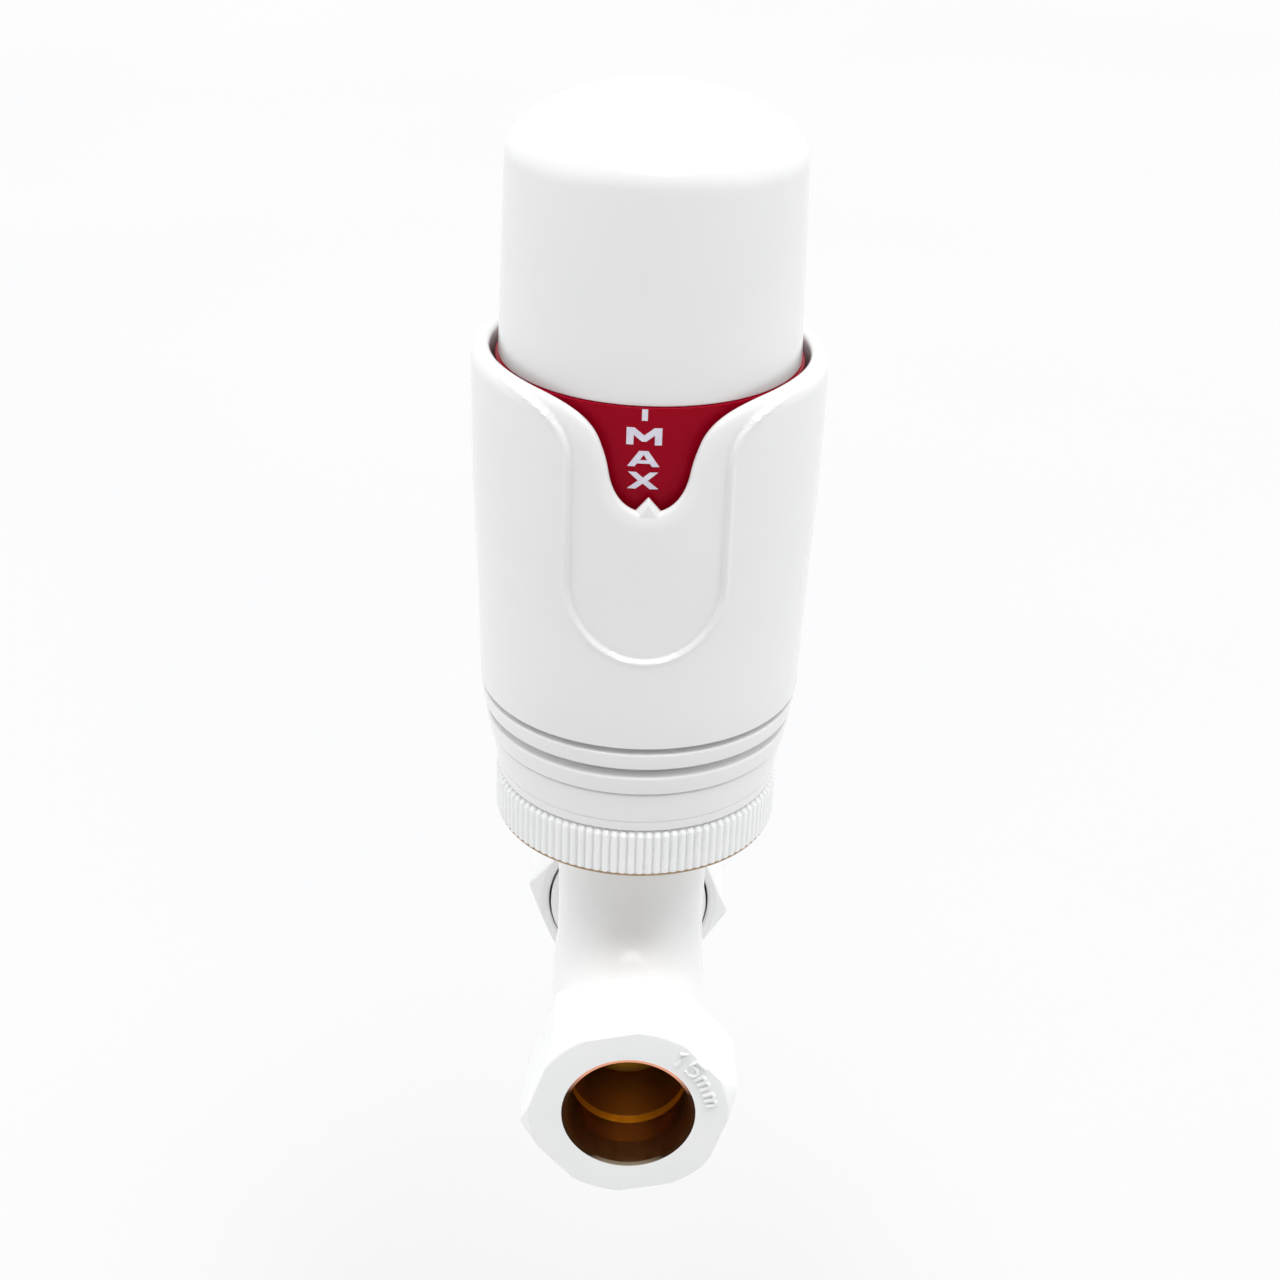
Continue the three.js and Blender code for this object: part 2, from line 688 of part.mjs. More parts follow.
place(head, "bonnet", bonnet(), BRASS);
place(head, "bonnet_oring", roundRing(7.32, 0.62, 13.25), RUBBER);
place(head, "gland_nut", glandNut(), BRASS);
place(head, "gland_oring", roundRing(2.95, 1.1, 26.8), RUBBER);
place(head, "spindle", spindle(), STEEL);
place(head, "spindle_circlip", snapRing(1.3, 4.9, CIRCLIP_Z, CIRCLIP_Z + 0.8, 60), STEEL);
place(head, "return_spring", coilSpring(4.2, 0.8, 12.7, CIRCLIP_Z - GAP, 5), STEEL);
place(head, "spring_seat", tube(2.1, 5.1, 11.2, 12.4, COARSE), STEEL);
place(head, "disc_holder", discHolder(), BRASS);
place(head, "valve_disc", tube(1.9, 5.8, 4.7, 6.5, COARSE), RUBBER);
place(head, "disc_rivet", discRivet(), BRASS);

place(valve, "valve_body", valveBody(), WHITE_PAINT);
place(inlet, "compression_nut", compressionNut(), WHITE_PAINT);
place(inlet, "olive", olive(), BRASS);
place(outlet, "union_nut", unionNut(), WHITE_PAINT);
place(outlet, "union_gasket", unionGasket(), RUBBER);
place(outlet, "radiator_tail", tail(), BRASS);
place(outlet, "tail_seal", tube(9.9, 11, 33, 34.8, MIDDLE), SEAL_RED);

export default valve;
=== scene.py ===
"""Looks of the thermostatic radiator valve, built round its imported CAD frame."""

import json
import math

import bmesh
import bpy
import numpy as np
from mathutils import Matrix, Vector


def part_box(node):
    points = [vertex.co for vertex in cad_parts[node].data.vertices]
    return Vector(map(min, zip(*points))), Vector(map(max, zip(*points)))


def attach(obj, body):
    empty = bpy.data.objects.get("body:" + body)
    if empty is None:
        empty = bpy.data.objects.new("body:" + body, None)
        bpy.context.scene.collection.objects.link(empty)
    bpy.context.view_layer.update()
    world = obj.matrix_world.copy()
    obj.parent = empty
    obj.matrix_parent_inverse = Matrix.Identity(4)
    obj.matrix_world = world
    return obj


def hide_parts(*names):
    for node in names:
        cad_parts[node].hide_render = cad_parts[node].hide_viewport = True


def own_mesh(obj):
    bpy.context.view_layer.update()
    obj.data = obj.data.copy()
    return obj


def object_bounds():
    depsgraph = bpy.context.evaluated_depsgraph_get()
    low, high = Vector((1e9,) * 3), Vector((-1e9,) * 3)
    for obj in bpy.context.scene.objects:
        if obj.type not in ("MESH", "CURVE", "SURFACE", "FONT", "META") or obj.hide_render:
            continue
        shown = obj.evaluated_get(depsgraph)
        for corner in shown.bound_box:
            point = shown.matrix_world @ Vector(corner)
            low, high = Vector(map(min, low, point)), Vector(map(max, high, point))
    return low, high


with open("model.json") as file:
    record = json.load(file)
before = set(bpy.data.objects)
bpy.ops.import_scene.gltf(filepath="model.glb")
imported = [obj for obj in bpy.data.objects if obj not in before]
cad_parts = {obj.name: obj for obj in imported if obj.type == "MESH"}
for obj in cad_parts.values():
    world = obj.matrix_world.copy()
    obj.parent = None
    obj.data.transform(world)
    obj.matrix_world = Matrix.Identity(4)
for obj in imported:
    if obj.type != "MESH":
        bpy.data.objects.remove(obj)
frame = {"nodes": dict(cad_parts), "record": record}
cad_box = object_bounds()
MM = 0.001

# ---- driving dimensions, in millimetres


def span(node, axis):
    """Lowest and highest place of a CAD node along an axis, in millimetres."""
    low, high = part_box(node)
    i = "XYZ".index(axis)
    return low[i] / MM, high[i] / MM


GAP = 0.3  # clearance between neighbouring pieces
CAP_TOP = span("cap", "Z")[1]
CAP_EDGE = 92.4  # lower edge of the cap
CAP_R = 18.5
SCALE_TOP = CAP_EDGE - 0.05
CAP_TOP_R = CAP_R - 0.6  # where the wall meets the dome
CAP_DOME = 8.0  # height of the elliptical dome
CAP_WALL = 1.8
CEILING_DROP = 5.8  # from the cap's top to the ceiling inside it
DRIVE_R = 14.6  # drive tube inside the cap
HUB_FOOT, HUB_TOP = 59.0, 69.0  # wider foot of the drive tube, which holds the snap ring
KEYWAY_TOP = 107.0
CARRIER_R = 11.6
KEY_R = 12.9
KEY_WIDTH = 4.0
TOWER_R = 13.6  # the base's tower, on which the cap turns
TOWER_TOP = 66.0
SNAP_Z = 62.1
SNAP_R = 15.5
SCALE_FOOT = span("scale_ring", "Z")[0]
SCALE_R = 18.85
SCALE_WALL = 1.2
SCALE_TURN = 2.2  # the word stands this many degrees off the pointer
TICK_Z = 90.85  # lower end of a tick

RIM_Z = 93.6  # crest of the sleeve's lip at its sides
NOTCH_Z = 79.95  # crest of the lip at the notch's bottom
SLEEVE_BORE_R = 19.5
CREST_R = 20.3  # where the lip is highest
LIP_OUTER = 2.0  # how far the lip's rounding reaches down the skin
LIP_INNER = 0.6  # and down the bore
SKIN = ((48.25, 20.6), (54, 20.83), (64, 21.12), (75, 21.6), (88, 21.8), (92.1, 21.78), (95, 21.7))
SKIN_FOOT = 58.0  # here the columns of the sleeve's grid are upright
GROOVES = ((18.2, 48.25, 47.35), (18.1, 45.05, 43.7))  # floor radius, upper edge, lower edge
SLEEVE_Z = 41.1
POCKET_HALF = 9.3
POCKET_Z = 70.0
POCKET_SIDE = 84.9  # top of the pocket's upright sides
POCKET_DEEP = 0.5
POCKET_EDGE = 0.36  # width of the pocket's rounded edge
POCKET_BEAD = 0.19  # how proud the skin stands just outside it
BEAD_WIDTH = 0.24
POINTER_Z = 79.2
BASE_SPIGOT_R = 17.3
BASE_SPIGOT_TOP = 50.0
BASE_FLOOR = 42.0  # upper side of the base's floor
BASE_FOOT = 37.3
BAND_TOP = 40.8
COLLAR_R = 18.6
COLLAR_Z = span("knurled_collar", "Z")[0]
COLLAR_TOP = 34.7
COLLAR_RIM = 38.7  # top of the hidden part that hooks the base
COLLAR_BORE_R = 15.2
COLLAR_NECK_R = 16.9
COLLAR_EDGE = 0.25  # how far the bare edge stands below the paint
RIBS = 104
RIB_DEPTH = 0.42

TUBE_R = 9.7
PIPE_R = 7.65
STOP_R = 6.2
CHAMBER_R = 8.1
SEAT_Z = 1.5
SEAT_R = 5.0
WEB = 2.5
CHAMBER_FOOT = -7.2
INFLOW_END, OUTFLOW_END = 9.5, 9.6  # where the passages turn up to the seat and down from it
NECK = ((-3.8, 10), (14, 10), (20, 10.1), (23.5, 10.35), (26.4, 10.95), (30, 11))  # height, radius
NECK_TOP = 28.0
BODY_MOUTH, OUTLET_END = (abs(y) for y in span("valve_body", "Y"))
INLET_FACE, INLET_BACK = (-y for y in span("compression_nut", "Y"))
INLET_FLATS = 25.0
INLET_TURN = 12.0
UNION_FRONT, UNION_BACK = span("union_nut", "Y")
UNION_FLATS = 26.0
UNION_TURN = 8.0
THREAD_START = 18.6  # where the body's threads begin, from the head's axis
INLET_BARE = 20.5  # no paint on the body beyond this, under the compression nut
UNION_BARE = 10.0  # nor this deep inside the union nut
OLIVE_SEAT = BODY_MOUTH - 1.6  # where the socket widens towards the olive
PIPE_STOP = 12.6
STOP_RING = 0.45  # how much wider than its bore the stop begins
STOP_SLOPE = 0.62  # depth of the drill's cone on the stop
LINER_R = 8.55  # outside of the turned socket wall
INLET_BEVEL = 0.2
OLIVE_Y = 25.3  # middle of the olive
OLIVE_R = 8.9
OLIVE_HALF = 1.9
INLET_THREAD_R = 10.3
UNION_THREAD_R = 11.45
TAIL_FACE, TAIL_END = span("radiator_tail", "Y")
TAIL_THREAD_R = 10.48
TAIL_BORE_R = 6.6
FLANGE_R = 11.2
FLANGE_BACK = 28.2
SHANK_R = 9.6
SEAL_R = 11.0
THREAD_PITCH = 1.814  # half-inch pipe thread

SPRING_SHARE = 0.78  # the return spring's length at rest, which leaves room for the sensor's stroke

ROUND = 160  # columns round a large turned piece
FLOOR_DROP = 120.0  # the valve hangs this far above the floor, as it does on its pipe


# ---- mesh helpers
def make_piece(name, points, faces, body, material, replaces=(), sharp_deg=40, normals=None):
    """Mesh object from points in millimetres, riding on a body."""
    mesh = bpy.data.meshes.new(name)
    mesh.from_pydata((np.asarray(points, float) * MM).tolist(), [], faces)
    mesh.validate()
    work = bmesh.new()
    work.from_mesh(mesh)
    bmesh.ops.recalc_face_normals(work, faces=work.faces)
    work.to_mesh(mesh)
    work.free()
    mesh.shade_smooth()
    if normals is None:
        mesh.set_sharp_from_angle(angle=math.radians(sharp_deg))
    else:
        mesh.normals_split_custom_set_from_vertices(normals)
    piece = bpy.data.objects.new(name, mesh)
    bpy.context.scene.collection.objects.link(piece)
    for m in material if isinstance(material, (list, tuple)) else [material]:
        mesh.materials.append(m)
    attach(piece, body)
    if replaces:
        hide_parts(*replaces)
    return piece


def fillet(profile, steps=5):
    """Rounds the corners of a closed outline. A point is (r, z) or (r, z, fillet radius)."""
    out = []
    count = len(profile)
    for i, point in enumerate(profile):
        here = np.array(point[:2], float)
        if len(point) < 3:
            out.append(tuple(here))
            continue
        before = np.array(profile[i - 1][:2], float) - here
        after = np.array(profile[(i + 1) % count][:2], float) - here
        u, v = before / np.linalg.norm(before), after / np.linalg.norm(after)
        half = math.acos(max(-1.0, min(1.0, float(u @ v)))) / 2
        reach = point[2] / math.tan(half)
        middle = here + (u + v) / np.linalg.norm(u + v) * point[2] / math.sin(half)
        start, end = here + u * reach - middle, here + v * reach - middle
        turn = math.atan2(start[0] * end[1] - start[1] * end[0], float(start @ end))
        for k in range(steps + 1):
            a = turn * k / steps
            c, s = math.cos(a), math.sin(a)
            out.append((middle[0] + c * start[0] - s * start[1], middle[1] + s * start[0] + c * start[1]))
    return out


def grid_faces(columns, rows):
    """Quads of a grid that closes on itself both ways."""
    faces = []
    for i in range(columns):
        j = (i + 1) % columns
        for k in range(rows):
            m = (k + 1) % rows
            faces.append((i * rows + k, j * rows + k, j * rows + m, i * rows + m))
    return faces


def revolve(profiles, angles):
    """Turned solid about Z from one closed (r, z) outline per angle. Points on the axis are merged."""
    rows = len(profiles[0])
    points = []
    for outline, a in zip(profiles, angles):
        points += [(r * math.sin(a), -r * math.cos(a), z) for r, z in outline]
    faces = grid_faces(len(angles), rows)
    on_axis = {k for k, (r, _) in enumerate(profiles[0]) if r < 1e-9}
    merged = []
    for face in faces:
        ids = [i % rows if i % rows in on_axis else i for i in face]
        clean = [i for n, i in enumerate(ids) if i != ids[n - 1]]
        if len(clean) > 2:
            merged.append(tuple(clean))
    return compact(points, merged)


def compact(points, faces):
    """Drops the points that no face uses."""
    used = sorted({i for face in faces for i in face})
    place = {old: new for new, old in enumerate(used)}
    return [points[i] for i in used], [tuple(place[i] for i in face) for face in faces]


def lathe(profile, columns=ROUND):
    """Turned solid about Z from one closed outline."""
    outline = fillet(profile)
    angles = [2 * math.pi * i / columns for i in range(columns)]
    return revolve([outline] * columns, angles)


def bezier(p0, p1, p2, p3, t):
    """Points of a cubic Bezier curve. t may be one value or a column of values."""
    return (1 - t) ** 3 * p0 + 3 * t * (1 - t) ** 2 * p1 + 3 * t**2 * (1 - t) * p2 + t**3 * p3


def curve_mesh(lines, closed, **settings):
    """Mesh of a curve that runs along straight lines, in millimetres."""
    curve = bpy.data.curves.new("outline", "CURVE")
    for name, value in settings.items():
        setattr(curve, name, value)
    for line in lines:
        spline = curve.splines.new("POLY")
        spline.points.add(len(line) - 1)
        for point, place in zip(spline.points, line):
            point.co = (*place, 1)
        spline.use_cyclic_u = closed
    holder = bpy.data.objects.new("outline", curve)
    mesh = bpy.data.meshes.new_from_object(holder)
    bpy.data.objects.remove(holder)
    return mesh


def taken_apart(work):
    """Points and faces of a finished bmesh, which is then let go."""
    work.verts.index_update()
    points = [tuple(v.co) for v in work.verts]
    faces = [tuple(v.index for v in f.verts) for f in work.faces]
    work.free()
    return points, faces


def between(a, b):
    """Three even steps along a straight side, so that its faces stay short."""
    return [(a[0] + (b[0] - a[0]) * t, a[1] + (b[1] - a[1]) * t) for t in (0.25, 0.5, 0.75)]


def along_y(points, side):
    """Turns a piece made about Z so that its +Z points along side * Y."""
    return [(x, side * z, -side * y) for x, y, z in points]


# ---- solids from distance functions
def smooth_max(a, b, k):
    h = np.maximum(k - np.abs(a - b), 0) / k
    return np.maximum(a, b) + h * h * k / 4


def smooth_min(a, b, k):
    return -smooth_max(-a, -b, k)


def surface_of(distance, low, high, cell):
    """Closed quad mesh of the surface where distance is zero, its points on it, with their normals."""
    low = np.array(low, float)
    counts = np.ceil((np.array(high, float) - low) / cell).astype(int) + 1
    axes = [low[i] + cell * np.arange(counts[i]) for i in range(3)]
    lattice = np.stack(np.meshgrid(*axes, indexing="ij"), -1).reshape(-1, 3)
    inside = (distance(lattice) < 0).reshape(counts)
    corner = [
        inside[i : counts[0] - 1 + i, j : counts[1] - 1 + j, k : counts[2] - 1 + k].astype(np.int8)
        for i in (0, 1) for j in (0, 1) for k in (0, 1)
    ]
    total = sum(corner)
    mixed = (total > 0) & (total < 8)
    number = np.full(mixed.shape, -1)
    number[mixed] = np.arange(mixed.sum())
    points = low + (np.argwhere(mixed) + 0.5) * cell
    quads = []
    for axis in range(3):
        u, v = [i for i in range(3) if i != axis]
        ahead = np.take(inside, range(1, counts[axis]), axis)
        behind = np.take(inside, range(0, counts[axis] - 1), axis)
        at = np.argwhere(ahead != behind)
        at = at[(at[:, u] > 0) & (at[:, v] > 0) & (at[:, u] < counts[u] - 1) & (at[:, v] < counts[v] - 1)]
        step_u, step_v = np.eye(3, dtype=int)[u], np.eye(3, dtype=int)[v]
        around = [number[tuple((at - s).T)] for s in (0 * step_u, step_u, step_u + step_v, step_v)]
        quads.append(np.stack(around, 1))

    def slope_at(p, h):
        return np.stack([(distance(p + h * e) - distance(p - h * e)) / (2 * h) for e in np.eye(3)], 1)

    for _ in range(8):
        slope = slope_at(points, 0.02)
        move = distance(points)[:, None] * slope / np.maximum((slope**2).sum(1), 0.25)[:, None]
        points -= np.clip(move, -0.4 * cell, 0.4 * cell)
    normals = slope_at(points, 0.08)
    normals /= np.maximum(np.linalg.norm(normals, axis=1), 1e-9)[:, None]
    return points, [tuple(int(i) for i in q) for q in np.concatenate(quads)], normals


def paint_faces(piece, kind):
    """Gives each face the material of its piece's list that kind(middle) picks: 0 or False is the first."""
    mesh = piece.data
    middles = np.array([p.center for p in mesh.polygons]) / MM
    mesh.polygons.foreach_set("material_index", kind(middles).astype(np.int32))


# ---- materials
class Shader:
    """A Principled material with short ways to add procedural detail."""

    def __init__(self, name, color, roughness, metallic=0.0):
        self.material = bpy.data.materials.new(name)
        self.material.use_nodes = True
        self.tree = self.material.node_tree
        self.bsdf = self.tree.nodes["Principled BSDF"]
        self.bsdf.inputs["Base Color"].default_value = (*color, 1)
        self.bsdf.inputs["Roughness"].default_value = roughness
        self.bsdf.inputs["Metallic"].default_value = metallic
        self.place = self.tree.nodes.new("ShaderNodeTexCoord").outputs["Object"]
        self.normal = None

    def link(self, a, b):
        self.tree.links.new(a, b)

    def noise(self, per_metre, detail=2.0, stretch=None):
        node = self.tree.nodes.new("ShaderNodeTexNoise")
        node.inputs["Scale"].default_value = per_metre
        node.inputs["Detail"].default_value = detail
        source = self.place
        if stretch:
            mapping = self.tree.nodes.new("ShaderNodeMapping")
            mapping.inputs["Scale"].default_value = stretch
            self.link(source, mapping.inputs["Vector"])
            source = mapping.outputs["Vector"]
        self.link(source, node.inputs["Vector"])
        return node.outputs["Fac"]

    def spread(self, value, low, high):
        """Maps a noise value onto a range."""
        node = self.tree.nodes.new("ShaderNodeMapRange")
        for name, limit in {"From Min": 0.3, "From Max": 0.7, "To Min": low, "To Max": high}.items():
            node.inputs[name].default_value = limit
        self.link(value, node.inputs["Value"])
        return node.outputs["Result"]

    def tint(self, value, first, second):
        """Base colour between two colours."""
        ramp = self.tree.nodes.new("ShaderNodeValToRGB")
        for element, position, color in zip(ramp.color_ramp.elements, (0.3, 0.7), (first, second)):
            element.position = position
            element.color = (*color, 1)
        self.link(value, ramp.inputs["Fac"])
        self.link(ramp.outputs["Color"], self.bsdf.inputs["Base Color"])

    def gloss(self, value, low, high):
        self.link(self.spread(value, low, high), self.bsdf.inputs["Roughness"])

    def bump(self, value, height_mm):
        node = self.tree.nodes.new("ShaderNodeBump")
        node.inputs["Strength"].default_value = 1.0
        node.inputs["Distance"].default_value = height_mm * MM
        self.link(value, node.inputs["Height"])
        if self.normal:
            self.link(self.normal, node.inputs["Normal"])
        self.normal = node.outputs["Normal"]
        self.link(self.normal, self.bsdf.inputs["Normal"])


def white_plastic():
    s = Shader("white_plastic", (0.87, 0.87, 0.865), 0.14)
    s.bsdf.inputs["IOR"].default_value = 1.5
    s.tint(s.noise(60, 3), (0.852, 0.853, 0.848), (0.872, 0.872, 0.866))
    s.gloss(s.noise(420, 3), 0.1, 0.17)
    s.bump(s.noise(900, 2), 0.0012)
    return s.material


def white_paint():
    s = Shader("white_paint", (0.92, 0.925, 0.922), 0.2)
    s.tint(s.noise(140, 4), (0.905, 0.912, 0.91), (0.932, 0.933, 0.93))
    s.gloss(s.noise(380, 3), 0.16, 0.26)
    s.bump(s.noise(130, 2), 0.01)
    s.bump(s.noise(1100, 2), 0.002)
    return s.material


def red_plastic():
    s = Shader("red_plastic", (0.28, 0.0, 0.01), 0.16)
    s.bsdf.inputs["Specular IOR Level"].default_value = 0.06
    s.tint(s.noise(200, 3), (0.3, 0.0, 0.01), (0.32, 0.0004, 0.013))
    s.gloss(s.noise(700, 3), 0.12, 0.22)
    s.bump(s.noise(1500, 2), 0.001)
    return s.material


def legend_ink():
    s = Shader("legend_ink", (0.74, 0.72, 0.82), 0.4)
    s.tint(s.noise(900, 4), (0.68, 0.65, 0.77), (0.8, 0.78, 0.87))
    s.gloss(s.noise(1400, 2), 0.32, 0.5)
    s.bump(s.noise(3000, 2), 0.002)
    return s.material


def inner_plastic():
    s = Shader("inner_plastic", (0.72, 0.71, 0.67), 0.5)
    s.tint(s.noise(180, 3), (0.68, 0.67, 0.63), (0.76, 0.75, 0.71))
    s.gloss(s.noise(600, 3), 0.4, 0.58)
    s.bump(s.noise(1800, 3), 0.004)
    return s.material


def brass(name="brass", low=(0.55, 0.34, 0.1), high=(0.74, 0.5, 0.2), rough=(0.22, 0.38)):
    """Turned brass: plain on the tail, and in darker or brighter copies inside, which are painted shade and
    painted light for the bores.
    """
    s = Shader(name, high, 0.3, 1.0)
    s.tint(s.noise(300, 4), low, high)
    s.gloss(s.noise(900, 4), *rough)
    s.bump(s.noise(700, 3, stretch=(0.3, 5, 0.3)), 0.0025)
    return s.material


def painted_light_copper_edge():
    """Bare ring round the pipe's hole, its colour painted light by height: a painted copper highlight along
    the top, painted shade nearly black round the sides, and a pale tan along the bottom edge.
    """
    s = Shader("painted_light_copper_edge", (0.9, 0.45, 0.25), 0.35, 1.0)
    ring = (PIPE_R + 1.05) * MM
    split = s.tree.nodes.new("ShaderNodeSeparateXYZ")
    s.link(s.place, split.inputs["Vector"])
    height = s.tree.nodes.new("ShaderNodeMapRange")
    height.inputs["From Min"].default_value = -ring
    height.inputs["From Max"].default_value = ring
    s.link(split.outputs["Z"], height.inputs["Value"])
    ramp = s.tree.nodes.new("ShaderNodeValToRGB")
    # painted light and shade by height: pale tan at the bottom edge, painted shade nearly black at the
    # sides, a painted copper highlight at the top
    painted_light_stops = [(0.0, (0.6, 0.47, 0.33)), (0.1, (0.04, 0.017, 0.006)), (0.68, (0.035, 0.009, 0.002)),
             (0.86, (0.9, 0.42, 0.26))]
    while len(ramp.color_ramp.elements) < len(painted_light_stops):
        ramp.color_ramp.elements.new(0.5)
    for element, (place, color) in zip(ramp.color_ramp.elements, painted_light_stops):
        element.position = place
        element.color = (*color, 1)
    s.link(height.outputs["Result"], ramp.inputs["Fac"])
    s.link(ramp.outputs["Color"], s.bsdf.inputs["Base Color"])
    s.gloss(s.noise(900, 3), 0.28, 0.42)
    s.bump(s.noise(900, 3), 0.006)
    return s.material


def steel():
    s = Shader("steel", (0.62, 0.63, 0.65), 0.26, 1.0)
    s.tint(s.noise(500, 4), (0.55, 0.56, 0.58), (0.68, 0.69, 0.71))
    s.gloss(s.noise(1200, 3), 0.2, 0.34)
    s.bump(s.noise(2500, 3, stretch=(1, 1, 4)), 0.003)
    return s.material


def sensor_metal():
    s = Shader("sensor_metal", (0.72, 0.73, 0.74), 0.34, 1.0)
    s.tint(s.noise(250, 4), (0.66, 0.67, 0.68), (0.77, 0.78, 0.79))
    s.gloss(s.noise(900, 3), 0.28, 0.42)
    s.bump(s.noise(1500, 3, stretch=(1, 1, 0.1)), 0.004)
    return s.material


def rubber():
    s = Shader("rubber", (0.03, 0.03, 0.03), 0.7)
    s.tint(s.noise(700, 4), (0.02, 0.02, 0.021), (0.045, 0.044, 0.043))
    s.gloss(s.noise(1600, 3), 0.55, 0.8)
    s.bump(s.noise(3000, 3), 0.006)
    return s.material


def seal_red():
    s = Shader("seal_red", (0.3, 0.06, 0.04), 0.55)
    s.tint(s.noise(600, 4), (0.22, 0.04, 0.03), (0.36, 0.08, 0.055))
    s.gloss(s.noise(1300, 3), 0.45, 0.65)
    s.bump(s.noise(2500, 4), 0.02)
    return s.material


def floor_paper():
    s = Shader("floor_paper", (0.665, 0.665, 0.665), 0.8)
    s.tint(s.noise(3, 2), (0.658, 0.658, 0.661), (0.673, 0.671, 0.671))
    s.bump(s.noise(700, 3), 0.01)
    return s.material


PLASTIC = white_plastic()
PAINT = white_paint()
RED = red_plastic()
INK = legend_ink()
INNER = inner_plastic()
BRASS = brass()
# painted shade: a dark copy of the brass for the nut's bore and the olive, deep in the hole
BORE = brass("bore_brass", (0.34, 0.165, 0.062), (0.38, 0.185, 0.07), (0.3, 0.38))
# painted shade: a darker copy of the brass for the socket's wall
SOCKET = brass("socket_brass", (0.51, 0.29, 0.085), (0.56, 0.32, 0.095), (0.38, 0.46))
# painted light: a lighter copy of the brass for the body's bare bores and threads
DEEP = brass("deep_brass", (0.94, 0.71, 0.4), (0.98, 0.75, 0.44), (0.36, 0.44))
# painted shade: a darker, greyer copy of the brass for the bare edge under the collar
SHADED_EDGE_BRASS = brass("shaded_edge_brass", (0.34, 0.24, 0.15), (0.42, 0.31, 0.19), (0.38, 0.5))  # the collar's bare edge
# painted light: a more orange copy of the brass with a wider sheen, standing for the lit arc at the olive's
# seat
BRIGHT = brass("bright_brass", (0.46, 0.155, 0.004), (0.53, 0.18, 0.005), (0.5, 0.6))  # the olive's seat
# painted highlight: a bright orange, glossier copy of the brass for the lit pipe stop
STOP = brass("stop_brass", (0.84, 0.39, 0.035), (0.92, 0.43, 0.045), (0.16, 0.24))  # the pipe stop
PAINTED_LIGHT_COPPER = painted_light_copper_edge()
STEEL = steel()
SENSOR = sensor_metal()
RUBBER = rubber()
SEAL = seal_red()


# ---- head
def cap():
    """Domed cap with the drive tube and its four keyways inside."""
    ceiling = CAP_TOP - CEILING_DROP
    wall_top = CAP_TOP - CAP_DOME
    dome_steps = 24
    dome = []
    for i in range(dome_steps + 1):
        a = math.pi / 2 * i / dome_steps
        dome.append((CAP_TOP_R * math.sin(a), CAP_TOP - CAP_DOME * (1 - math.cos(a))))
    wall = between((CAP_TOP_R, wall_top), (CAP_R, CAP_EDGE))
    bore_r = CARRIER_R + GAP
    skirt = TOWER_R + GAP
    recess = SNAP_R - 0.7  # groove for the snap ring

    def outline(slot_r):
        inside = [
            (CAP_R, CAP_EDGE, 0.16), (CAP_R - CAP_WALL, CAP_EDGE, 0.2),
            (CAP_TOP_R - CAP_WALL, ceiling - 3), (CAP_TOP_R - CAP_WALL - 1.5, ceiling),
            (DRIVE_R, ceiling), (DRIVE_R, HUB_TOP), (SNAP_R, HUB_TOP), (SNAP_R, HUB_FOOT),
            (skirt, HUB_FOOT), (skirt, SNAP_Z - 1), (recess, SNAP_Z - 1), (recess, SNAP_Z + 1),
            (skirt, SNAP_Z + 1), (skirt, TOWER_TOP + 2), (slot_r, TOWER_TOP + 2),
            (slot_r, KEYWAY_TOP), (bore_r, KEYWAY_TOP + GAP), (bore_r, ceiling), (0.0, ceiling),
        ]
        return dome + fillet(wall + inside)

    half = (KEY_WIDTH / 2 + GAP) / (KEY_R + GAP)  # half of a keyway's angle
    side = 1e-3  # and the angle over which its side wall stands
    angles, profiles = [], []
    plain, slotted = outline(bore_r), outline(KEY_R + 2 * GAP)
    slot_steps = 8
    steps = ROUND // 4 - slot_steps
    for quarter in range(4):
        centre = quarter * math.pi / 2
        for i in range(slot_steps + 1):
            angles.append(centre - half + 2 * half * i / slot_steps)
            profiles.append(slotted)
        for i in range(steps + 1):
            angles.append(centre + half + side + (math.pi / 2 - 2 * half - 2 * side) * i / steps)
            profiles.append(plain)
    points, faces = revolve(profiles, angles)
    make_piece("cap", points, faces, "handwheel", PLASTIC, ["cap"])


def scale_ring():
    """Red ring under the cap, with a spigot that fixes it inside the cap."""
    spigot = CAP_R - CAP_WALL - GAP
    spigot_bore = spigot - 1.1
    spigot_top, spigot_foot = CAP_EDGE + 5.6, CAP_EDGE - 1.6
    bore = SCALE_R - SCALE_WALL
    points, faces = lathe([
        (bore, SCALE_FOOT), (SCALE_R, SCALE_FOOT, 0.15), (SCALE_R, SCALE_TOP, 0.1), (spigot, SCALE_TOP),
        (spigot - 0.1, spigot_top), (spigot_bore, spigot_top), (spigot_bore, spigot_foot),
        (bore, spigot_foot),
    ])
    make_piece("scale_ring", points, faces, "handwheel", RED, ["scale_ring"])


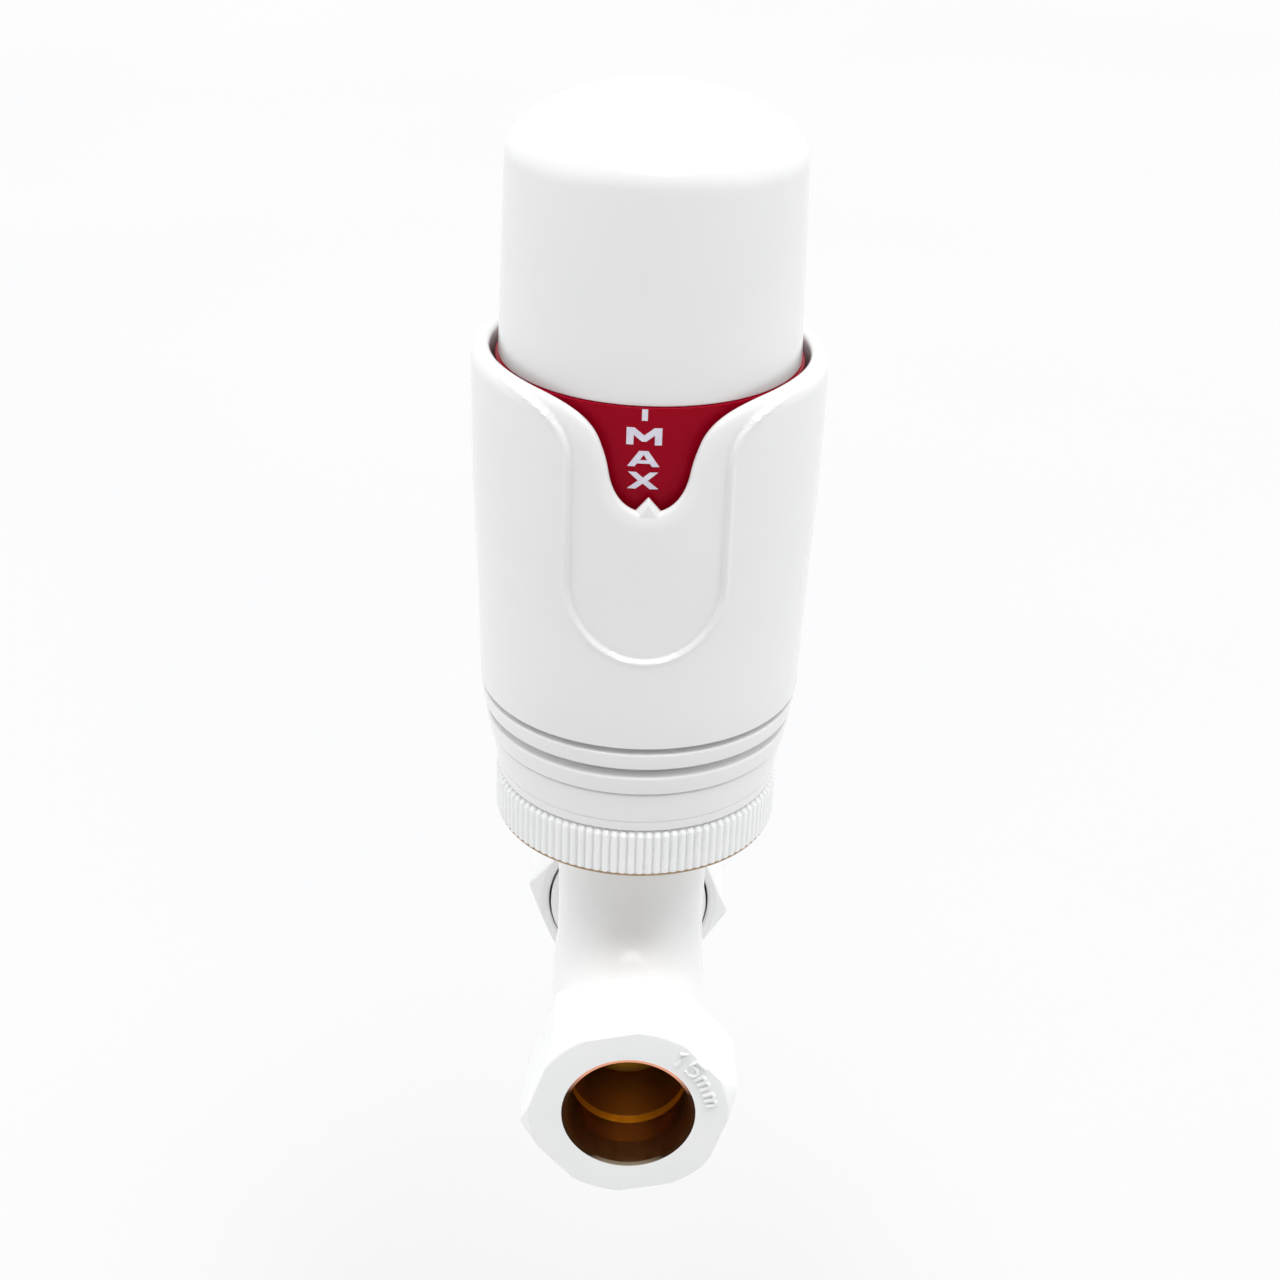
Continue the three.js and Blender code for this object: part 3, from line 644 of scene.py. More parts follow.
# Letters as closed outlines in a unit box, with their holes after them.
LETTERS = {
    "M": [[(0, 0), (0, 1), (0.22, 1), (0.5, 0.56), (0.78, 1), (1, 1), (1, 0), (0.8, 0), (0.8, 0.58),
           (0.56, 0.2), (0.44, 0.2), (0.2, 0.58), (0.2, 0)]],
    "A": [[(0, 0), (0.36, 1), (0.64, 1), (1, 0), (0.77, 0), (0.7, 0.2), (0.3, 0.2), (0.23, 0)],
          [(0.385, 0.42), (0.615, 0.42), (0.5, 0.76)]],
    "X": [[(0, 0), (0.345, 0.5), (0.02, 1), (0.28, 1), (0.5, 0.67), (0.72, 1), (0.98, 1), (0.655, 0.5),
           (1, 0), (0.73, 0), (0.5, 0.33), (0.27, 0)]],
    "I": [[(0.36, 0), (0.36, 1), (0.64, 1), (0.64, 0)]],
    "N": [[(0, 0), (0, 1), (0.24, 1), (0.78, 0.36), (0.78, 1), (1, 1), (1, 0), (0.76, 0), (0.22, 0.64),
           (0.22, 0)]],
    "1": [[(0.42, 0), (0.42, 0.68), (0.2, 0.56), (0.2, 0.78), (0.48, 1), (0.68, 1), (0.68, 0)]],
    "2": [[(0.1, 0), (0.1, 0.2), (0.62, 0.6), (0.62, 0.74), (0.5, 0.82), (0.34, 0.74), (0.3, 0.62),
           (0.08, 0.66), (0.16, 0.88), (0.5, 1), (0.82, 0.9), (0.88, 0.7), (0.78, 0.5), (0.44, 0.2),
           (0.9, 0.2), (0.9, 0)]],
    "3": [[(0.5, 0), (0.16, 0.1), (0.08, 0.32), (0.3, 0.36), (0.5, 0.18), (0.66, 0.3), (0.5, 0.43),
           (0.38, 0.43), (0.38, 0.59), (0.5, 0.59), (0.62, 0.7), (0.5, 0.82), (0.32, 0.68), (0.12, 0.72),
           (0.2, 0.92), (0.5, 1), (0.8, 0.92), (0.86, 0.7), (0.72, 0.53), (0.9, 0.3), (0.8, 0.1)]],
    "4": [[(0.56, 0), (0.56, 0.22), (0.06, 0.22), (0.06, 0.4), (0.52, 1), (0.78, 1), (0.78, 0.4),
           (0.94, 0.4), (0.94, 0.22), (0.78, 0.22), (0.78, 0)],
          [(0.3, 0.4), (0.56, 0.4), (0.56, 0.74)]],
}


def wrapped(work, radius, angle_offset):
    """Cuts a flat letter into narrow strips and bends it round the Z axis."""
    strip = 0.4
    xs = [v.co.x for v in work.verts]
    cut = math.ceil(min(xs) / strip) * strip
    while cut < max(xs):
        geometry = list(work.verts) + list(work.edges) + list(work.faces)
        bmesh.ops.bisect_plane(work, geom=geometry, plane_co=(cut, 0, 0), plane_no=(1, 0, 0))
        cut += strip
    for v in work.verts:
        r = radius + v.co.z
        a = v.co.x / radius + angle_offset
        v.co = Vector((r * math.sin(a), -r * math.cos(a), v.co.y))


def scale_legend():
    """Printed settings: a tick and a word or number for each sixth of the turn."""
    ink, sunk = 0.14, 0.03  # thickness of the print, and how deep its middle lies in the ring
    tick_half, tick_top = 0.34, SCALE_TOP - 0.12
    tick = [(-tick_half, TICK_Z), (-tick_half, tick_top), (tick_half, tick_top), (tick_half, TICK_Z)]
    widths = {"M": 4.1, "A": 3.75, "X": 3.65, "I": 3.7, "N": 3.65}
    number_width = 3.6
    word_lines = [(87.85, 2.1), (85.15, 1.95), (82.35, 2.1)]  # foot and height of each letter
    number_line = [(83.6, 4.6)]
    join = bmesh.new()
    for place, word in enumerate(["MAX", "4", "3", "2", "1", "MIN"]):
        angle = place * math.radians(60) - math.radians(SCALE_TURN)
        outlines = []
        for name, (foot, tall) in zip(word, word_lines if len(word) > 1 else number_line):
            wide = widths.get(name, number_width)
            for loop in LETTERS[name]:
                outlines.append([((x - 0.5) * wide, foot + y * tall) for x, y in loop])
        flat = [[(x, y, 0) for x, y in line] for line in outlines + [tick]]
        work = bmesh.new()
        work.from_mesh(curve_mesh(flat, True, dimensions="2D", fill_mode="BOTH", extrude=ink / 2))
        bmesh.ops.remove_doubles(work, verts=work.verts, dist=1e-4)
        wrapped(work, SCALE_R - sunk, angle)
        done = bpy.data.meshes.new("glyph")
        work.to_mesh(done)
        work.free()
        join.from_mesh(done)
    points, faces = taken_apart(join)
    make_piece("scale_legend", points, faces, "handwheel", INK, sharp_deg=30)


def notch_crest(count):
    """Crest of the lip from the notch's middle to the side, as (x along the skin, z)."""
    z, rim = NOTCH_Z, RIM_Z
    side = CREST_R * math.pi / 2
    wall, shoulder, brow, flat = (4.8, z + 4.8), (5.75, z + 8.0), (15.5, rim - 0.45), (26, rim)
    stretches = [
        ((0, z), (2.7, z), (4.3, z + 1.9), wall, 60),
        (wall, (5.05, z + 6.1), (5.3, z + 6.9), shoulder, 30),
        (shoulder, (6.75, z + 10.9), (9.6, z + 12.7), brow, 80),
        (brow, (19.5, rim - 0.05), (23, rim), flat, 60),
        (flat, (28, rim), (30, rim), (side, rim), 30),
    ]
    parts = []
    for *corners, steps in stretches:
        t = np.linspace(0, 1, steps, endpoint=False)[:, None]
        parts.append(bezier(*np.array(corners, float), t))
    dense = np.concatenate(parts + [np.array([[side, rim]])])
    length = np.concatenate([[0], np.cumsum(np.linalg.norm(np.diff(dense, axis=0), axis=1))])
    even = np.linspace(0, length[-1], count + 1)
    return np.stack([np.interp(even, length, dense[:, i]) for i in (0, 1)], 1)


def pocket_outline():
    """Right half of the pocket's edge, as (x across, z), bottom to rim."""
    arc = [(POCKET_HALF * math.sin(a), POCKET_Z - POCKET_HALF * math.cos(a))
           for a in np.linspace(0, math.pi / 2, 60)]
    line = [(POCKET_HALF, z) for z in np.linspace(POCKET_Z + 0.3, POCKET_SIDE - 0.3, 50)]
    flare = np.array([(POCKET_HALF, POCKET_SIDE), (POCKET_HALF, 90.1), (12, 92.0), (17.2, 93.3)])
    return np.concatenate([arc, line, bezier(*flare, np.linspace(0, 1, 70)[:, None])])


def pocket_depth(across, z):
    """How far the skin is set back at a point, seen straight on."""
    edge = pocket_outline()
    x = np.abs(across)
    near = np.full(x.shape, 1e9)
    for a, b in zip(edge, edge[1:]):
        ab = b - a
        t = np.clip(((x - a[0]) * ab[0] + (z - a[1]) * ab[1]) / (ab @ ab), 0, 1)
        near = np.minimum(near, np.hypot(x - a[0] - t * ab[0], z - a[1] - t * ab[1]))
    half = np.interp(z, edge[:, 1], edge[:, 0], left=-1)
    signed = np.where(x < half, near, -near)
    t = np.clip(signed / POCKET_EDGE + 0.5, 0, 1)
    bead = POCKET_BEAD * np.exp(-(((signed + POCKET_EDGE) / BEAD_WIDTH) ** 2))
    return POCKET_DEEP * t * t * (3 - 2 * t) - bead


def skin_radius(z):
    """Radius of the sleeve's skin above its grooves."""
    return np.interp(z, *zip(*SKIN))


def outer_sleeve():
    """Fixed sleeve: a closed grid whose top follows the notch's edge in front and behind."""
    quarter = 190
    crest = notch_crest(quarter)
    ahead = np.gradient(crest, axis=0)
    ahead /= np.linalg.norm(ahead, axis=1)[:, None]
    inward = np.stack([ahead[:, 1], -ahead[:, 0]], 1)
    inward[0], inward[-1] = (0, -1), (0, -1)
    length = np.linspace(0, 1, quarter + 1)
    side = CREST_R * math.pi / 2
    foot_x = side * (0.72 * length + 0.28 * length**2)  # the columns stand closer in front

    def below_crest(d):
        """Points on the skin at a distance below the crest, as (x along, z)."""
        return crest + d * inward

    def sweep(start, steps):
        """Rows that leave the lip square to it and arrive upright at the foot."""
        end = np.stack([foot_x, np.full(quarter + 1, SKIN_FOOT)], 1)
        far = np.linalg.norm(end - start, axis=1)[:, None]
        reach = np.minimum(far * 0.5, 3.0)  # longer, and the columns would cross at the shoulders
        rows = []
        for t in np.linspace(0, 1, steps + 1)[1:]:
            rows.append(bezier(start, start + inward * reach, end + np.array([0, 1.0]) * far * 0.55, end, t))
        return rows

    rows = []  # each row is (x along the skin, z, radius, share of the pocket's depth)
    for i in range(10):
        d = LIP_OUTER * (1 - math.cos(math.pi / 2 * i / 9))
        p = below_crest(d)
        bulge = math.sqrt(max(0.0, 1 - (1 - d / LIP_OUTER) ** 2))
        skin = skin_radius(p[:, 1])
        rows.append((p[:, 0], p[:, 1], CREST_R + (skin - CREST_R) * bulge, bulge))
    for p in sweep(below_crest(LIP_OUTER), 170):
        rows.append((p[:, 0], p[:, 1], skin_radius(p[:, 1]), 1.0))
    (r1, top1, foot1), (r2, top2, foot2) = GROOVES
    fit = BASE_SPIGOT_R + GAP
    below = fillet([
        SKIN[1][::-1], (SKIN[0][1], top1, 0.22), (r1, top1), (r1, foot1), (20.5, foot1, 0.28),
        (20.1, top2, 0.25), (r2, top2), (r2, foot2), (19.95, foot2, 0.3), (19.45, SLEEVE_Z, 0.15),
        (fit, SLEEVE_Z), (fit, BASE_SPIGOT_TOP + 0.5), (SLEEVE_BORE_R, 52.0), (SLEEVE_BORE_R, SKIN_FOOT),
    ])
    flat = np.ones(quarter + 1)
    for r, z in below:
        rows.append((foot_x, z * flat, r * flat, 0.0))
    for p in reversed(sweep(below_crest(LIP_INNER), 24)[:-1]):
        rows.append((p[:, 0], p[:, 1], SLEEVE_BORE_R * flat, 0.0))
    for d in (LIP_INNER, 0.36, 0.16, 0.04):
        p = below_crest(d)
        bulge = math.sqrt(max(0.0, 1 - (1 - d / LIP_INNER) ** 2))
        rows.append((p[:, 0], p[:, 1], (CREST_R + (SLEEVE_BORE_R - CREST_R) * bulge) * flat, 0.0))

    along, height, radius, share = (
        np.stack([np.broadcast_to(value, quarter + 1) for value in column], 1) for column in zip(*rows)
    )
    angle = along / CREST_R
    radius = radius - share * pocket_depth(radius * np.sin(angle), height)
    points = []
    for mirror, half_turn in ((1, 0), (-1, 1), (1, 1), (-1, 0)):
        for i in range(quarter) if mirror > 0 else range(quarter, 0, -1):
            a = mirror * angle[i] + half_turn * math.pi
            points.append(np.stack([radius[i] * np.sin(a), -radius[i] * np.cos(a), height[i]], 1))
    faces = grid_faces(len(points), len(rows))
    make_piece("outer_sleeve", np.concatenate(points), faces, "valve", PLASTIC, ["outer_sleeve"],
               50)


def pointer():
    """Small wedge at the notch's bottom that points at the scale."""
    back, front, ridge = SLEEVE_BORE_R + 0.15, SLEEVE_BORE_R + 0.85, SLEEVE_BORE_R + 1.35
    outline = [(-2.2, POINTER_Z), (2.2, POINTER_Z), (0, POINTER_Z + 2.55)]
    inset = [(-1.5, POINTER_Z), (1.5, POINTER_Z), (0, POINTER_Z + 1.9)]
    points = [(x, -back, z) for x, z in outline]
    points += [(x, -front, z) for x, z in outline]
    points += [(0.8 * x, -ridge, z) for x, z in inset]
    faces = [(0, 1, 2), (8, 7, 6)]
    for i in range(3):
        j = (i + 1) % 3
        faces += [(i, j, j + 3, i + 3), (i + 3, j + 3, j + 6, i + 6)]
    piece = make_piece("scale_pointer", points, faces, "valve", PLASTIC, [], 20)
    edge = piece.modifiers.new("edge", "BEVEL")
    edge.width = 0.12 * MM
    edge.segments = 3


def head_base():
    """Base with its visible band, the sleeve's spigot, the cap's tower and the collar's pocket."""
    spigot_bore = BASE_SPIGOT_R - 1.5
    tower_bore = CARRIER_R + GAP
    groove = TOWER_R - 0.75
    hole = 6.9  # passes the sensor's pin
    pocket, pocket_top = 14.9, COLLAR_RIM + 0.4  # room for the collar's hidden rim
    slot, slot_foot = 17.85, 35.9  # room for the ring that keeps the collar on
    points, faces = lathe([
        (BASE_SPIGOT_R, COLLAR_TOP + GAP), (18.3, COLLAR_TOP + GAP, 0.2), (18.5, 36.3, 0.1), (18.42, 36.45),
        (18.56, 36.62, 0.1), (19.15, BAND_TOP, 0.25), (BASE_SPIGOT_R, BAND_TOP),
        (BASE_SPIGOT_R, BASE_SPIGOT_TOP), (spigot_bore, BASE_SPIGOT_TOP), (spigot_bore, BASE_FLOOR),
        (TOWER_R, BASE_FLOOR), (TOWER_R, SNAP_Z - 0.9), (groove, SNAP_Z - 0.9), (groove, SNAP_Z + 0.9),
        (TOWER_R, SNAP_Z + 0.9), (TOWER_R, TOWER_TOP), (tower_bore, TOWER_TOP), (tower_bore, BASE_FLOOR),
        (hole, BASE_FLOOR), (hole, BASE_FOOT), (pocket, BASE_FOOT), (pocket, pocket_top),
        (BASE_SPIGOT_R, pocket_top), (BASE_SPIGOT_R, BASE_FOOT), (slot, BASE_FOOT), (slot, slot_foot),
        (BASE_SPIGOT_R, slot_foot),
    ])
    make_piece("head_base", points, faces, "valve", PLASTIC, ["head_base"])


def knurled_collar():
    """Painted collar with fine ribs and a bare brass edge under them."""
    per_rib = 10
    edge_r, edge_z = COLLAR_R - 0.32, COLLAR_Z - COLLAR_EDGE
    groove_r, groove_z = 16.2, (36.0, 37.2)  # for the ring that keeps it on the base
    outer = fillet([
        (17.35, COLLAR_TOP), (18.0, COLLAR_TOP, 0.1), (COLLAR_R, COLLAR_TOP - 0.55, 0.25),
        (COLLAR_R, COLLAR_Z + 0.2, 0.12), (edge_r, COLLAR_Z + 0.1), (edge_r, edge_z),
    ], 4)
    inner = [
        (COLLAR_BORE_R, edge_z), (COLLAR_BORE_R, COLLAR_RIM), (COLLAR_NECK_R, COLLAR_RIM),
        (COLLAR_NECK_R, groove_z[1]), (groove_r, groove_z[1]), (groove_r, groove_z[0]),
        (COLLAR_NECK_R, groove_z[0]), (COLLAR_NECK_R, COLLAR_TOP + 0.02),
    ]
    middle = between((COLLAR_R, COLLAR_TOP - 0.8), (COLLAR_R, COLLAR_Z + 0.7))
    half_way = (COLLAR_TOP + COLLAR_Z) / 2
    lower = [point for point in outer if point[1] < half_way]
    outline = outer[: -len(lower)] + middle + lower + inner
    profiles, angles = [], []
    for i in range(RIBS * per_rib):
        u = (i % per_rib) / per_rib
        valley = math.exp(-((min(u, 1 - u) / 0.16) ** 2))
        crown = 0.06 * (2 * u - 1) ** 2
        ring = []
        for r, z in outline:
            share = min(1.0, max(0.0, (r - 17.6) / 0.6)) * (z > COLLAR_Z + 0.12)
            ring.append((r - share * (RIB_DEPTH * valley + crown), z))
        profiles.append(ring)
        angles.append(2 * math.pi * i / (RIBS * per_rib))
    points, faces = revolve(profiles, angles)
    # the bare edge under the ribs and the bore take the darker brass copy, painted shade
    piece = make_piece("knurled_collar", points, faces, "collar", [PAINT, SHADED_EDGE_BRASS], ["knurled_collar"],
                       55)
    bare_r = COLLAR_BORE_R + 0.1
    paint_faces(piece, lambda p: (p[:, 2] < COLLAR_Z + 0.1) | (np.hypot(p[:, 0], p[:, 1]) < bare_r))


# ---- body and nuts
def neck_radius(z):
    """Radius of the upright neck, which ends below in a shallow bowl."""
    waist, radius = NECK[0]
    bowl = radius * np.sqrt(np.clip(1 - ((waist - z) / 6.6) ** 2, 0.02, 1))
    return np.where(z < waist, bowl, np.interp(z, *zip(*NECK)))


def tube_radius(y, turn):
    """Outside of the run: plain in the middle, threaded at both ends."""
    ridge = 0.32 * (np.cos(2 * math.pi * (y / THREAD_PITCH - turn)) - 1)
    front, back = THREAD_START - 0.6, UNION_FRONT - 0.6
    inlet = np.interp(-y, (front, front + 0.9, BODY_MOUTH - 0.5, BODY_MOUTH + 1),
                      (TUBE_R, INLET_THREAD_R, INLET_THREAD_R, INLET_THREAD_R - 0.9))
    outlet = np.interp(y, (back, back + 0.5, OUTLET_END - 0.5, OUTLET_END + 1),
                       (TUBE_R, UNION_THREAD_R, UNION_THREAD_R, UNION_THREAD_R - 0.85))
    threaded = np.clip((np.abs(y) - THREAD_START) / 0.5, 0, 1)
    return np.where(y < 0, inlet, outlet) + ridge * threaded


def body_outside(p):
    """Distance to the body's skin: the neck and the run, blended."""
    x, y, z = p.T
    neck = smooth_max((np.hypot(x, y) - neck_radius(z)) * 0.97, z - NECK_TOP, 0.5)
    across = np.hypot(x, z)
    turn = np.arctan2(z, x) / (2 * math.pi)
    run = smooth_max(across - tube_radius(y, turn), -BODY_MOUTH - y, 0.4)
    run = smooth_max(run, y - OUTLET_END, 0.4)
    blend = 3.2 + 6.5 * y**2 / (x**2 + y**2 + 4)  # wide fillet in front and behind, tight at the sides
    return smooth_min(neck, run, blend)


def body_bores(p):
    """Distance to the passages: socket, inflow, under the seat, seat, chamber and outflow."""
    x, y, z = p.T
    upright, across = np.hypot(x, y), np.hypot(x, z)
    chamber = np.maximum(upright - CHAMBER_R, SEAT_Z - z)
    seat = np.maximum(upright - SEAT_R, np.abs(z - SEAT_Z + WEB / 2) - WEB / 2 - 0.5)
    under = np.maximum.reduce([upright - STOP_R, z - SEAT_Z + WEB, CHAMBER_FOOT - z])
    inflow = np.maximum.reduce([across - STOP_R, y, np.minimum(y + INFLOW_END, z - SEAT_Z + WEB)])
    cone = PIPE_R + np.clip(-y - OLIVE_SEAT, 0, 3) * 0.97
    socket = np.maximum(across - np.maximum(cone, LINER_R + 0.05), y + PIPE_STOP - 1.25)
    outflow = np.maximum.reduce([across - STOP_R, -y, np.minimum(OUTFLOW_END - y, SEAT_Z - z)])
    return np.minimum.reduce([chamber, seat, under, inflow, socket, outflow])


def valve_body():
    """Painted body with bare bores and threads."""

    def distance(p):
        return smooth_max(body_outside(p), -body_bores(p), 0.3)

    low, high = (-13, -BODY_MOUTH - 1, -12), (13, OUTLET_END + 1, NECK_TOP + 1)
    points, faces, normals = surface_of(distance, low, high, 0.33)
    # the bare bores and threads take the lighter brass copy, painted light
    piece = make_piece("valve_body", points, faces, "valve", [PAINT, DEEP], ["valve_body"],
                       normals=normals)

    def is_bare(p):
        threads = (p[:, 1] < -INLET_BARE) | (p[:, 1] > UNION_FRONT + UNION_BARE)
        return (-body_bores(p) > body_outside(p)) | threads

    paint_faces(piece, is_bare)


def pipe_socket():
    """Turned wall of the pipe's socket, with the olive's seat and the drilled pipe stop, in brass copies
    painted in shade on the wall and in light on the seat and the stop.
    """
    end = PIPE_STOP - 1.2
    stop_bore = STOP_R + STOP_RING
    points, faces = lathe([
        (LINER_R, end), (LINER_R, OLIVE_SEAT + 0.93), (PIPE_R, OLIVE_SEAT, 0.06), (PIPE_R, PIPE_STOP),
        (stop_bore, PIPE_STOP - STOP_SLOPE, 0.05), (stop_bore, end),
    ])
    # painted shade on the socket's wall, painted light on the olive's seat and the pipe stop
    metals = [SOCKET, BRIGHT, STOP]
    piece = make_piece("pipe_socket", along_y(points, -1), faces, "valve", metals, [])
    paint_faces(piece, lambda p: (-p[:, 1] > OLIVE_SEAT + 0.02) + 2 * (-p[:, 1] < PIPE_STOP - 0.01))


def hexagon_radius(angle, flats, turn_deg):
    """Distance from a nut's axis to its side, with its corners slightly rounded."""
    power = 64
    total = sum(abs(math.cos(angle - math.radians(turn_deg + 30 + 60 * k))) ** power for k in range(3))
    return flats / 2 / total ** (1 / power)


def turned_nut(flats, turn_deg, ends, rings, slopes, bore, side):
    """Hexagon nut along Y with its corners turned off at both ends, one outline per angle."""
    columns = 420
    least_width, least_drop = 0.16, 0.12  # of the chamfer at the middle of a flat
    profiles, angles = [], []
    for i in range(columns):
        a = 2 * math.pi * i / columns
        wall = hexagon_radius(side * (math.pi / 2 - a), flats, turn_deg)
        outside = []
        for k, inward in ((1, -1), (0, 1)):
            end, ring, slope = ends[k], rings[k], slopes[k]
            rim = min(ring, wall - least_width)
            drop = max((wall - ring) * slope, least_drop)
            soft = min(0.5, 0.8 * math.hypot(wall - rim, drop))
            pair = [(rim, end, soft), (wall, end + inward * drop, soft)]
            outside += pair if inward < 0 else pair[::-1]
        profiles.append(fillet(bore + outside, 4))
        angles.append(a)
    points, faces = revolve(profiles, angles)
    return along_y(points, side), faces


def size_mark(radius, start_deg, height):
    """Raised strokes that spell 15mm along an arc on the compression nut's face."""
    thick, raised = 0.27, 0.12
    wider, spacing = 1.05, 0.3
    bowl_turn, arch_turn = np.linspace(math.pi * 0.93, -0.7, 9), np.linspace(math.pi, 0, 7)
    bowl = [(0.5 + 0.42 * math.sin(a), 0.31 - 0.31 * math.cos(a)) for a in bowl_turn]
    arch = [(0.29 + 0.21 * math.cos(a), 0.42 + 0.2 * math.sin(a)) for a in arch_turn]
    second_arch = [(x + 0.42, y) for x, y in arch]
    strokes = {
        "1": (0.5, [[(0.05, 0.78), (0.35, 1), (0.35, 0)]]),
        "5": (0.78, [[(0.88, 1), (0.22, 1), (0.16, 0.55)] + bowl]),
        "m": (1.0, [[(0.08, 0.62), (0.08, 0)], arch + [(0.5, 0)], second_arch + [(0.92, 0)]]),
    }
    cursor = math.radians(start_deg)
    joined = bmesh.new()
    for letter in "15mm":
        wide, lines = strokes[letter]
        for line in lines:
            bent = []
            for x, y in line:
                r = radius + (y - 0.5) * height
                a = cursor - x * height * wider / radius
                bent.append((r * math.cos(a), -INLET_FACE - raised, r * math.sin(a)))
            joined.from_mesh(curve_mesh([bent], False, dimensions="3D", bevel_depth=thick,
                                        bevel_resolution=2, use_fill_caps=True))
        cursor -= (wide + spacing) * height * wider / radius
    points, faces = taken_apart(joined)
    make_piece("nut_size_mark", points, faces, "inlet_nut", PAINT, [], 60)


def compression_nut():
    """Nut whose bore widens from the olive to the bare copper ring on its face."""
    thread = INLET_THREAD_R + GAP
    bevel = INLET_FACE - INLET_BEVEL
    cone, cone_end = OLIVE_Y + 0.45, OLIVE_Y + OLIVE_HALF + 0.05
    bore = [
        (thread + 0.35, INLET_BACK), (thread, INLET_BACK + 0.4), (thread, cone), (9.4, cone),
        (8.3, cone_end), (PIPE_R, cone_end), (PIPE_R + 0.5, bevel), (PIPE_R + 1, INLET_FACE, 0.05),
    ]
    ends = (INLET_BACK, INLET_FACE)
    points, faces = turned_nut(INLET_FLATS, INLET_TURN, ends, (12.6, 12.85), (0.58, 1.3), bore, -1)
    # the bore takes the dark brass copy, painted shade; the copper ring on the face is painted light and
    # shade by height
    piece = make_piece("compression_nut", points, faces, "inlet_nut", [PAINT, BORE, PAINTED_LIGHT_COPPER],
                       ["compression_nut"], 30)

    def kind(p):
        across, along = np.hypot(p[:, 0], p[:, 2]), -p[:, 1]
        bare = across < np.where(along > OLIVE_Y + OLIVE_HALF, PIPE_R + 0.98, thread + 0.2)
        # the bevel at the face is the bare copper ring, with painted highlight on top and painted shade
        # round the sides
        edge = bare & (along > bevel + 0.01)
        return bare.astype(int) + edge.astype(int)

    paint_faces(piece, kind)
    size_mark(radius=11.1, start_deg=58, height=2.2)


def union_nut():
    """Nut that pulls the tail's flange against the body."""
    thread = UNION_THREAD_R + GAP
    tail_hole = TAIL_THREAD_R + 0.2
    bore = [
        (thread + 0.35, UNION_FRONT, 0.15), (thread, UNION_FRONT + 0.35, 0.1), (thread, FLANGE_BACK + 0.1),
        (tail_hole, FLANGE_BACK + 0.5), (tail_hole, UNION_BACK),
    ]
    ends = (UNION_FRONT, UNION_BACK)
    points, faces = turned_nut(UNION_FLATS, -UNION_TURN, ends, (13.0, 13.2), (0.58, 0.58), bore, 1)
    piece = make_piece("union_nut", points, faces, "outlet_nut", [PAINT, BRASS], ["union_nut"],
                       30)

    def is_bare(p):
        across, along = np.hypot(p[:, 0], p[:, 2]), p[:, 1]
        return (across < thread + 0.05) & (along > UNION_FRONT + UNION_BARE) & (along < UNION_BACK - 0.02)

    paint_faces(piece, is_bare)


def radiator_tail():
    """Tail with a real helical thread."""
    start, end = 35.6, TAIL_END - 0.9
    tooth_height = 1.1
    root = TAIL_THREAD_R - tooth_height
    columns = 120
    per_turn = 10
    rows = int((end - start) / THREAD_PITCH * per_turn)
    angles = [2 * math.pi * i / columns for i in range(columns)]
    before = fillet([
        (TAIL_BORE_R, TAIL_FACE), (FLANGE_R, TAIL_FACE, 0.2), (FLANGE_R, FLANGE_BACK, 0.2),
        (SHANK_R, FLANGE_BACK), (SHANK_R, start - 0.7), (root, start - 0.5),
    ])
    after = [(root - 0.1, TAIL_END), (TAIL_BORE_R + 0.4, TAIL_END), (TAIL_BORE_R, TAIL_END - 0.5)]
    profiles = []
    for a in angles:
        thread = []
        for k in range(rows + 1):
            z = start + (end - start) * k / rows
            turn = z / THREAD_PITCH - a / (2 * math.pi)
            saw = 2 * abs(turn - math.floor(turn) - 0.5)
            tooth = min(1.0, max(0.0, 1.35 * saw - 0.15))
            fade = min(1.0, (z - start) / 1.2, (end - z) / 1.0 + 0.15)
            thread.append((TAIL_THREAD_R - tooth_height * (1 - tooth * fade), z))
        profiles.append(before + thread + after)
    points, faces = revolve(profiles, angles)
    make_piece("radiator_tail", along_y(points, 1), faces, "valve", BRASS, ["radiator_tail"], 35)


def tail_seal():
    """Ready-fitted ring at the root of the tail's thread."""
    low, high = span("tail_seal", "Y")
    bore = SEAL_R - 1.1
    outline = [(bore, low, 0.3), (SEAL_R, low, 0.35), (SEAL_R, high, 0.35), (bore, high, 0.3)]
    points, faces = lathe(outline, 96)
    make_piece("tail_seal", along_y(points, 1), faces, "valve", SEAL, ["tail_seal"])


def olive():
    """Compression ring round the pipe's hole."""
    outer = OLIVE_Y + OLIVE_HALF + 0.03
    points, faces = lathe([
        (PIPE_R, OLIVE_Y - OLIVE_HALF, 0.1), (8.0, OLIVE_Y - OLIVE_HALF, 0.1), (OLIVE_R, OLIVE_Y - 0.6, 0.2),
        (OLIVE_R, OLIVE_Y + 0.6, 0.2), (8.1, outer, 0.05), (PIPE_R, outer),
    ], 120)
    # the olive takes the dark brass copy, painted shade
    make_piece("olive", along_y(points, -1), faces, "valve", BORE, ["olive"])


def return_spring():
    """The CAD spring, made shorter at rest so that it stays clear of the moving circlip."""
    mesh = frame["nodes"]["return_spring"].data
    points = np.array([v.co for v in mesh.vertices]) / MM
    faces = [tuple(f.vertices) for f in mesh.polygons]
    foot = points[:, 2].min()
    points[:, 2] = foot + (points[:, 2] - foot) * SPRING_SHARE
    piece = make_piece("return_spring", points, faces, "valve", STEEL, ["return_spring"])
    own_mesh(piece)


# ---- CAD nodes
def finish_nodes():
    """Gives each CAD node the material of its slot."""
    by_slot = {
        "white_plastic": PLASTIC, "white_paint": PAINT, "red_plastic": RED, "inner_plastic": INNER,
        "brass": BRASS, "steel": STEEL, "sensor_metal": SENSOR, "rubber": RUBBER, "seal_red": SEAL,
    }
    for part in frame["record"]["subparts"]:
        mesh = frame["nodes"][part["node"]].data
        mesh.materials.clear()
        mesh.materials.append(by_slot[part["material_slot"]])


